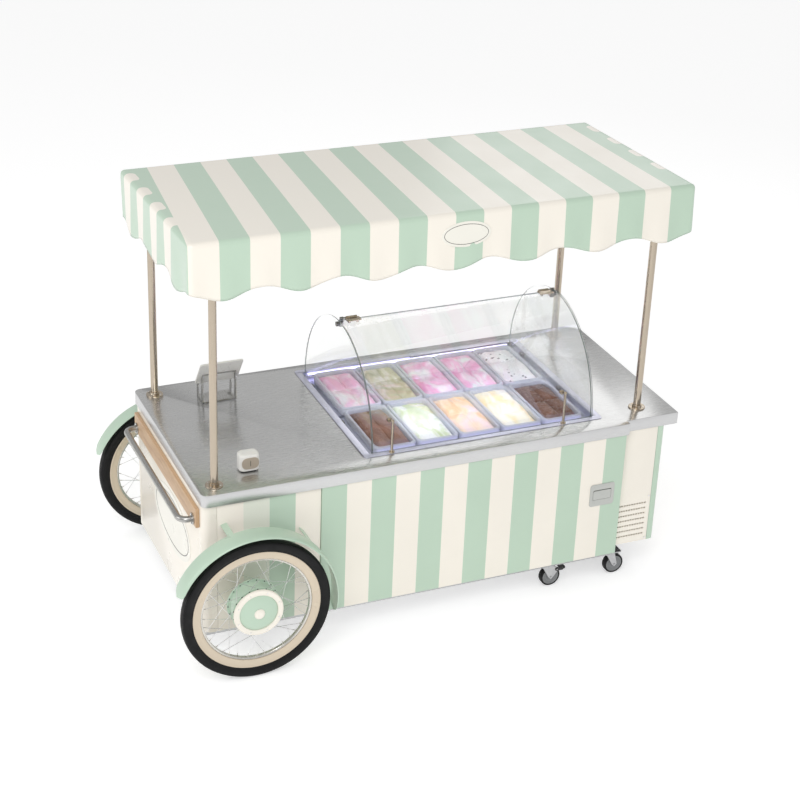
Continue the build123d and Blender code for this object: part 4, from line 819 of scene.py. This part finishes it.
def pans():
    """Ten pans with rolled rims, each with its own flavour."""
    pink, rose, white = (0.90, 0.42, 0.64), (0.86, 0.30, 0.55), (0.93, 0.90, 0.92)
    cocoa, dark = (0.17, 0.075, 0.045), (0.11, 0.045, 0.028)
    olive, moss = (0.36, 0.35, 0.14), (0.55, 0.52, 0.30)
    mint, leaf = (0.62, 0.72, 0.40), (0.92, 0.95, 0.86)
    peach, apricot = (0.92, 0.58, 0.30), (0.95, 0.74, 0.52)
    lemon, butter = (0.93, 0.76, 0.40), (0.96, 0.90, 0.72)
    flavours = [("pink_swirl", [pink, (0.93, 0.55, 0.74), white], None, (2, 2), 0.12),
                ("pistachio", [olive, moss, (0.75, 0.70, 0.60)], None, (2, 2), 0.25),
                ("strawberry", [rose, (0.93, 0.6, 0.78), white], None, (1, 2), 0.35),
                ("raspberry", [white, (0.93, 0.5, 0.72), rose], None, (2, 2), 0.2),
                ("cookie", [white, (0.95, 0.95, 0.96)], (0.03, 0.025, 0.03), (1, 1), 0.3),
                ("chocolate", [dark, cocoa, (0.24, 0.11, 0.065)], None, (2, 2), 0.2),
                ("mint", [mint, leaf, (0.95, 0.96, 0.93)], None, (1, 2), 0.4),
                ("peach", [peach, apricot, (0.93, 0.72, 0.70)], None, (2, 2), 0.3),
                ("vanilla", [lemon, butter, (0.97, 0.94, 0.85)], None, (1, 3), 0.35),
                ("dark_chocolate", [dark, cocoa], None, (2, 2), 0.08)]
    for number, (flavour, colours, flecks, lumps, rough) in enumerate(flavours, start=1):
        node = f"gelato_pan_{number:02d}"
        low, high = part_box(node)
        middle = ((low.x + high.x) / 2, (low.y + high.y) / 2, 0)
        sx, sy = high.x - low.x, high.y - low.y
        deck = high.z - 0.038
        wall = [(0.008, 0.020, low.z), (0.008, 0.020, deck), (0.0, 0.028, deck + 0.0008),
                (0.0, 0.028, high.z - 0.007), (0.001, 0.028, high.z - 0.003),
                (0.0035, 0.027, high.z - 0.0006), (0.0065, 0.026, high.z),
                (0.0095, 0.025, high.z - 0.0006), (0.012, 0.024, high.z - 0.004),
                (0.0132, 0.023, high.z - 0.012), (0.014, 0.022, high.z - 0.06)]
        loops = [rounded_loop(sx - 2 * d, sy - 2 * d, r, z) for d, r, z in wall]
        pan = moved(loft(loops), middle)
        fill_low = Vector((low.x + 0.0145, low.y + 0.0145, high.z - 0.022))
        fill_high = Vector((high.x - 0.0145, high.y - 0.0145, high.z + 0.003))
        surface = pan_surface(fill_low, fill_high, number, lumps, rough)
        gloss = 0.22 if "dark" in flavour else 0.4
        look = gelato("gelato_" + flavour, colours, flecks, gloss, 7.0 + number % 3)
        body = f"pan_{number:02d}"
        shape(f"pan_{number:02d}_with_{flavour}", [(*pan, 0), (*surface, 1)], [PAN_PLASTIC, look],
              body, (node,), angle=50)


def ellipse(a, b, start, end, steps):
    return [(a * cos(start + (end - start) * i / steps), b * sin(start + (end - start) * i / steps))
            for i in range(steps + 1)]


def hood():
    """Two arch-shaped end glasses and the curved lifting glass, with their dark ground edges."""
    low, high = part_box("end_glasses")
    well_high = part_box("display_well")[1]
    y0 = (low.y + high.y) / 2
    a = (high.y - low.y) / 2
    base = well_high.z
    b = high.z - base
    panes = []
    for x in (low.x, high.x - GLASS):
        outline = ellipse(a, b, 0, pi, 96) + [(-a, low.z - base), (a, low.z - base)]
        loops = [[Vector((x + d, y0 + y, base + z)) for y, z in outline] for d in (0, GLASS)]
        points, faces = loft(loops)
        panes += [(points, faces[:-2], 1), (points, faces[-2:], 0)]
    shape("end_glass_pair", panes, [GLASS_CLEAR, GLASS_EDGE], "cart", ("end_glasses",),
          0.0008)
    low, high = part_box("curved_glass")
    gap = 0.0005
    foot = low.z - base
    inner = ellipse(a + gap, b + gap, pi / 2, pi, 64)
    outer = ellipse(a + gap + GLASS, b + gap + GLASS, pi / 2, pi, 64)
    inner = [(y, max(z, foot)) for y, z in inner]
    outer = [(y, max(z, foot)) for y, z in outer]
    loops = []
    for x in (low.x, high.x):
        loops.append([Vector((x, y0 + y, base + z)) for y, z in inner + outer[::-1]])
    points, faces = loft(loops)
    steps = len(inner)
    broad = [face for k, face in enumerate(faces[:-2]) if k not in (steps - 1, 2 * steps - 1)]
    narrow = [faces[steps - 1], faces[2 * steps - 1], *faces[-2:]]
    shape("curved_lift_glass", [(points, broad, 0), (points, narrow, 1)], [GLASS_CLEAR, GLASS_EDGE],
          "hood", ("curved_glass",), 0.0008, angle=30)


def display():
    """Well with cool light strips along its long sides and a raised lip round the flange."""
    low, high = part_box("display_well")
    # the well steel carries a painted cool-light tint
    refine("display_well", WELL_STEEL_PAINTED_COOL_LIGHT, 0.001)
    front = low.y + 0.031
    back = high.y - 0.031
    z = high.z - 0.012
    parts = []
    for y, way in ((front, 1), (back, -1)):
        parts.append((*cuboid((low.x + 0.06, min(y, y + way * 0.006), z - 0.006),
                              (high.x - 0.06, max(y, y + way * 0.006), z + 0.004)), 0))
    shape("well_light_strips", parts, [COOL_LAMP], "cart", bevel=0.001)


# ---------------------------------------------------------------- body and counter
def front_panel():
    """Main panel as one seamless board, with the pocket that the latch sits over."""
    (x0, y0, z0), (x1, y1, z1) = PANEL_BOX
    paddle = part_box("latch_paddle")
    aside, above = POCKET_GAP
    pocket = (paddle[0].x - aside, paddle[0].z - above, paddle[1].x + aside, paddle[1].z + above)
    back = y0 + POCKET_DEPTH

    def loop(a, b, c, d, y):
        return [Vector((u, y, v)) for u, v in ((a, b), (c, b), (c, d), (a, d))]

    board = loft([loop(x0, z0, x1, z1, y1), loop(x0, z0, x1, z1, y0), loop(*pocket, y0),
                  loop(*pocket, back)])
    shape("main_panel", [(*board, 0)], [PANEL_PAINT], "cart", ("front_panel",),
          0.0015, 30)


def body_panels():
    front_panel()
    refine("front_left_panel", LEFT_PAINT, 0.0015)
    refine("cream_panels", HUB_CREAM, 0.0006)
    rear = striped_paint("rear_stripes", PANEL_BOX[0].x, PANEL_STRIPE, GREEN, PALE_CREAM)

    def hinge_or_panel(centre, normal):
        return 1 if centre.y > -LEFT_PANEL_BOX[0].y + 0.0005 else 0

    refine("rear_panels", rear, 0.0008, hinge_or_panel, [CHROME])
    refine("rear_door_left", rear, 0.0008, hinge_or_panel, [BAR_STEEL])
    refine("rear_door_right", rear, 0.0008, hinge_or_panel, [BAR_STEEL])
    refine("corner_posts", HUB_CREAM, 0.0, lambda c, n: 1 if c.x > 0 else 0, [GREEN_PAINT], 30)
    refine("chassis_frame", ALLOY, 0.0008)
    refine("floor_pan", FASCIA_STEEL, 0.0)
    refine("latch_plate", LATCH_PAINT, 0.0006)
    refine("latch_paddle", LATCH_PAINT, 0.0006)
    refine("compressor_unit", BLACK_ENAMEL, 0.001)


def counter():
    top = WORKTOP_BOX[1].z
    refine("worktop", FASCIA_STEEL, 0.002, lambda c, n: 1 if n.z > 0.9 and c.z > top - 0.001 else 0,
           [TOP_STEEL])
    refine("poles", CHAMPAGNE, 0.0, angle=35)
    refine("fasteners", CHROME, 0.0004)
    refine("handle_board", OAK, 0.002)
    refine("handle_bar", BAR_STEEL, 0.0, angle=40)
    refine("canopy_frame", ALLOY, 0.0008)
    refine("canopy_light", WARM_LAMP, 0.0)
    refine("glass_legs", CHAMPAGNE, 0.0, angle=40)
    refine("glass_clamps", DARK_STEEL, 0.0005, angle=40)
    refine("axle", ZINC, 0.0004)
    refine("tablet_stand", BAR_STEEL, 0.0005)


def card_reader():
    """Soft-edged white reader on a dark foot, with a slotted taupe face."""
    low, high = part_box("card_reader")
    x, y = (low.x + high.x) / 2, (low.y + high.y) / 2 + 0.001
    sx, sy = high.x - low.x, high.y - low.y - 0.002
    foot = moved(loft([rounded_loop(sx - 0.026, sy - 0.026, 0.008, z) for z in
                       (low.z, low.z + 0.006)]), (x, y, 0))
    rows = [(0.006 * (1 - sin(a)), low.z + 0.006 + 0.006 * (1 - cos(a)))
            for a in (0.0, 0.3, 0.6, 0.9, 1.2, pi / 2)]
    rows += [(0.012 * (1 - sin(a)), high.z - 0.012 + 0.012 * cos(a))
             for a in (pi / 2, 1.3, 1.05, 0.8, 0.55, 0.3, 0.0)]
    body = moved(loft([rounded_loop(sx - 2 * d, sy - 2 * d, 0.024 - d * 0.9, z, 10)
                       for d, z in rows]), (x, y, 0))
    middle = (low.z + 0.006 + high.z) / 2
    turn = Matrix.Translation((x, low.y + 0.0035, middle)) @ Matrix.Rotation(pi / 2, 4, "X")
    size = (sx - 0.016, high.z - low.z - 0.030)
    plate = loft([[turn @ p for p in rounded_loop(size[0] - 2 * d, size[1] - 2 * d, 0.024 - d, z, 10)]
                  for d, z in ((0, 0), (0, 0.0025), (0.0008, 0.0033))])
    slot = loft([[turn @ p for p in rounded_loop(0.0028, 0.026, 0.0013, z, 4)]
                 for z in (0.0030, 0.0035)])
    shape("reader_body", [(*foot, 0), (*body, 1), (*plate, 2), (*slot, 0)],
          [BLACK_PLASTIC, WHITE_PLASTIC, TAUPE_PLASTIC], "cart", ("card_reader",),
          angle=40)


def on_the_counter():
    card_reader()
    refine("tablet", WHITE_PLASTIC, 0.0004, None, [SCREEN], 30)


def plaque(place, size):
    """Plain oval plate with a dark border line near its edge; place maps its plane's X and Y."""
    a, b = size[0] / 2, size[1] / 2
    steps = 96

    def oval(scale_a, scale_b, z):
        return [place @ Vector((scale_a * cos(2 * pi * i / steps), scale_b * sin(2 * pi * i / steps), z))
                for i in range(steps)]

    plate = loft([oval(a, b, 0.0), oval(a, b, 0.0015), oval(a - 0.0012, b - 0.0012, 0.0022)])
    line = 0.0022 if size[0] < 0.3 else 0.0045
    inset = 0.05 * size[0]
    outer, inner = (a - inset, b - inset), (a - inset - line, b - inset - line)
    border = loft([oval(*outer, 0.002), oval(*outer, 0.0025), oval(*inner, 0.0025),
                   oval(*inner, 0.002)], False, False)
    return [(*plate, 0), (*border, 1)]


def plaques(canopy_place):
    parts = plaque(canopy_place @ Matrix.Translation((0.049, -CANOPY_DEPTH / 2, -0.096))
                   @ Matrix.Rotation(pi / 2, 4, "X"), CANOPY_BADGE)
    body_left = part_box("cream_panels")[0].x
    turn = Matrix(((0, 0, -1), (-1, 0, 0), (0, 1, 0))).to_4x4()
    parts += plaque(Matrix.Translation((body_left, *END_BADGE_AT)) @ turn, END_BADGE)
    shape("plaque_pair", parts, [PLAQUE_PAINT, LINE_PAINT], "cart", ("plaques",), angle=30)


def casters():
    refine("caster_plates", ZINC, 0.0006)
    for number in range(1, 5):
        refine(f"caster_fork_{number}", ZINC, 0.0008)
        low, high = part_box(f"caster_wheel_{number}")
        x, y, z = (low + high) / 2
        radius, half = high.z - z, (high.y - low.y) / 2 - 0.001
        core = radius - 0.009
        tread = [(core + 0.0002, -half), (core + 0.0002, half), (radius - 0.003, half),
                 (radius - 0.001, half - 0.0015), (radius, half - 0.005), (radius, 0.005 - half),
                 (radius - 0.001, 0.0015 - half), (radius - 0.003, -half)]
        disc = [(0.0051, -half - 0.001), (0.0051, half + 0.001), (0.013, half + 0.001),
                (0.015, half - 0.001), (0.018, half - 0.005), (core - 0.009, half - 0.005),
                (core - 0.006, half - 0.002), (core, half - 0.001), (core, 0.001 - half),
                (core - 0.006, 0.002 - half), (core - 0.009, 0.005 - half), (0.018, 0.005 - half),
                (0.015, 0.001 - half), (0.013, -half - 0.001)]
        parts = [(*lathe(tread, x, y, z, 72), 0), (*lathe(disc, x, y, z, 72), 1)]
        shape(f"caster_{number}_tread_and_core", parts, [TYRE_RUBBER, CASTER_GREY],
              f"caster_{number}", (f"caster_wheel_{number}",), angle=30)
    for number in (1, 3):
        refine(f"brake_pedal_{number}", BLACK_PLASTIC, 0.001)


# ---------------------------------------------------------------- stage, lights, camera
def stage():
    """Seamless white floor."""
    mesh = bpy.data.meshes.new("floor")
    size = 14.0
    mesh.from_pydata([(-size, -size, 0), (size, -size, 0), (size, size, 0), (-size, size, 0)], [],
                     [(0, 1, 2, 3)])
    floor_obj = bpy.data.objects.new("floor", mesh)
    n = Nodes("floor_white")
    n.set(Base_Color=(0.8, 0.8, 0.8), Roughness=0.9, Specular_IOR_Level=0.1,
          Emission_Color=(1, 1, 1), Emission_Strength=0.45)
    mesh.materials.append(n.material)
    bpy.context.scene.collection.objects.link(floor_obj)


def area_light(name, place, target, size, power, colour=(1, 1, 1)):
    data = bpy.data.lights.new(name, "AREA")
    data.shape = "RECTANGLE"
    data.size, data.size_y = size
    data.energy = power
    data.color = colour
    obj = bpy.data.objects.new(name, data)
    obj.location = place
    obj.rotation_euler = (Vector(target) - Vector(place)).to_track_quat("-Z", "Y").to_euler()
    bpy.context.scene.collection.objects.link(obj)


def lights():
    world = bpy.data.worlds.new("studio")
    bpy.context.scene.world = world
    world.use_nodes = True
    world.node_tree.nodes["Background"].inputs["Color"].default_value = (1, 1, 1, 1)
    world.node_tree.nodes["Background"].inputs["Strength"].default_value = 0.6
    area_light("key", (-2.5, -4.5, 5.5), (0, 0, 0.8), (3.5, 3.5), 150)
    area_light("fill", (-5.5, 0.5, 3.0), (0, 0, 0.9), (3.0, 3.0), 45)
    area_light("rim", (3.5, 4.0, 4.0), (0, 0, 1.0), (3.0, 2.0), 20)
    low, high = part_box("display_well")
    area_light("well_light", ((low.x + high.x) / 2, low.y + 0.16, high.z + 0.30),
               ((low.x + high.x) / 2, 0.1, high.z), (1.0, 0.1), 2.0, (0.72, 0.72, 1.0))


def camera():
    """Long lens from the front left, a little tilted."""
    azimuth, elevation, roll = radians(23.92), radians(26.80), radians(-2.32)
    ahead = Vector((sin(azimuth) * cos(elevation), cos(azimuth) * cos(elevation), -sin(elevation)))
    right = ahead.cross(Vector((0, 0, 1))).normalized()
    down = ahead.cross(right)
    across = cos(roll) * right + sin(roll) * down
    below = -sin(roll) * right + cos(roll) * down
    place = Vector((WORKTOP_BOX[0].x + 1.150 - 3.093, -6.902, 4.672))
    data = bpy.data.cameras.new("camera")
    data.lens = 82.4
    data.sensor_width = 36
    data.clip_end = 60
    obj = bpy.data.objects.new("camera", data)
    obj.matrix_world = Matrix((across, -below, -ahead)).transposed().to_4x4()
    obj.location = place
    bpy.context.scene.collection.objects.link(obj)
    bpy.context.scene.camera = obj


canopy_place = canopy()
for wheel_name, wheel_side in (("front", -1), ("back", 1)):
    big_wheel(wheel_name, wheel_side)
mudguards()
pans()
hood()
display()
body_panels()
counter()
on_the_counter()
plaques(canopy_place)
casters()
stage()
lights()
camera()
bpy.context.scene.view_settings.view_transform = "Standard"
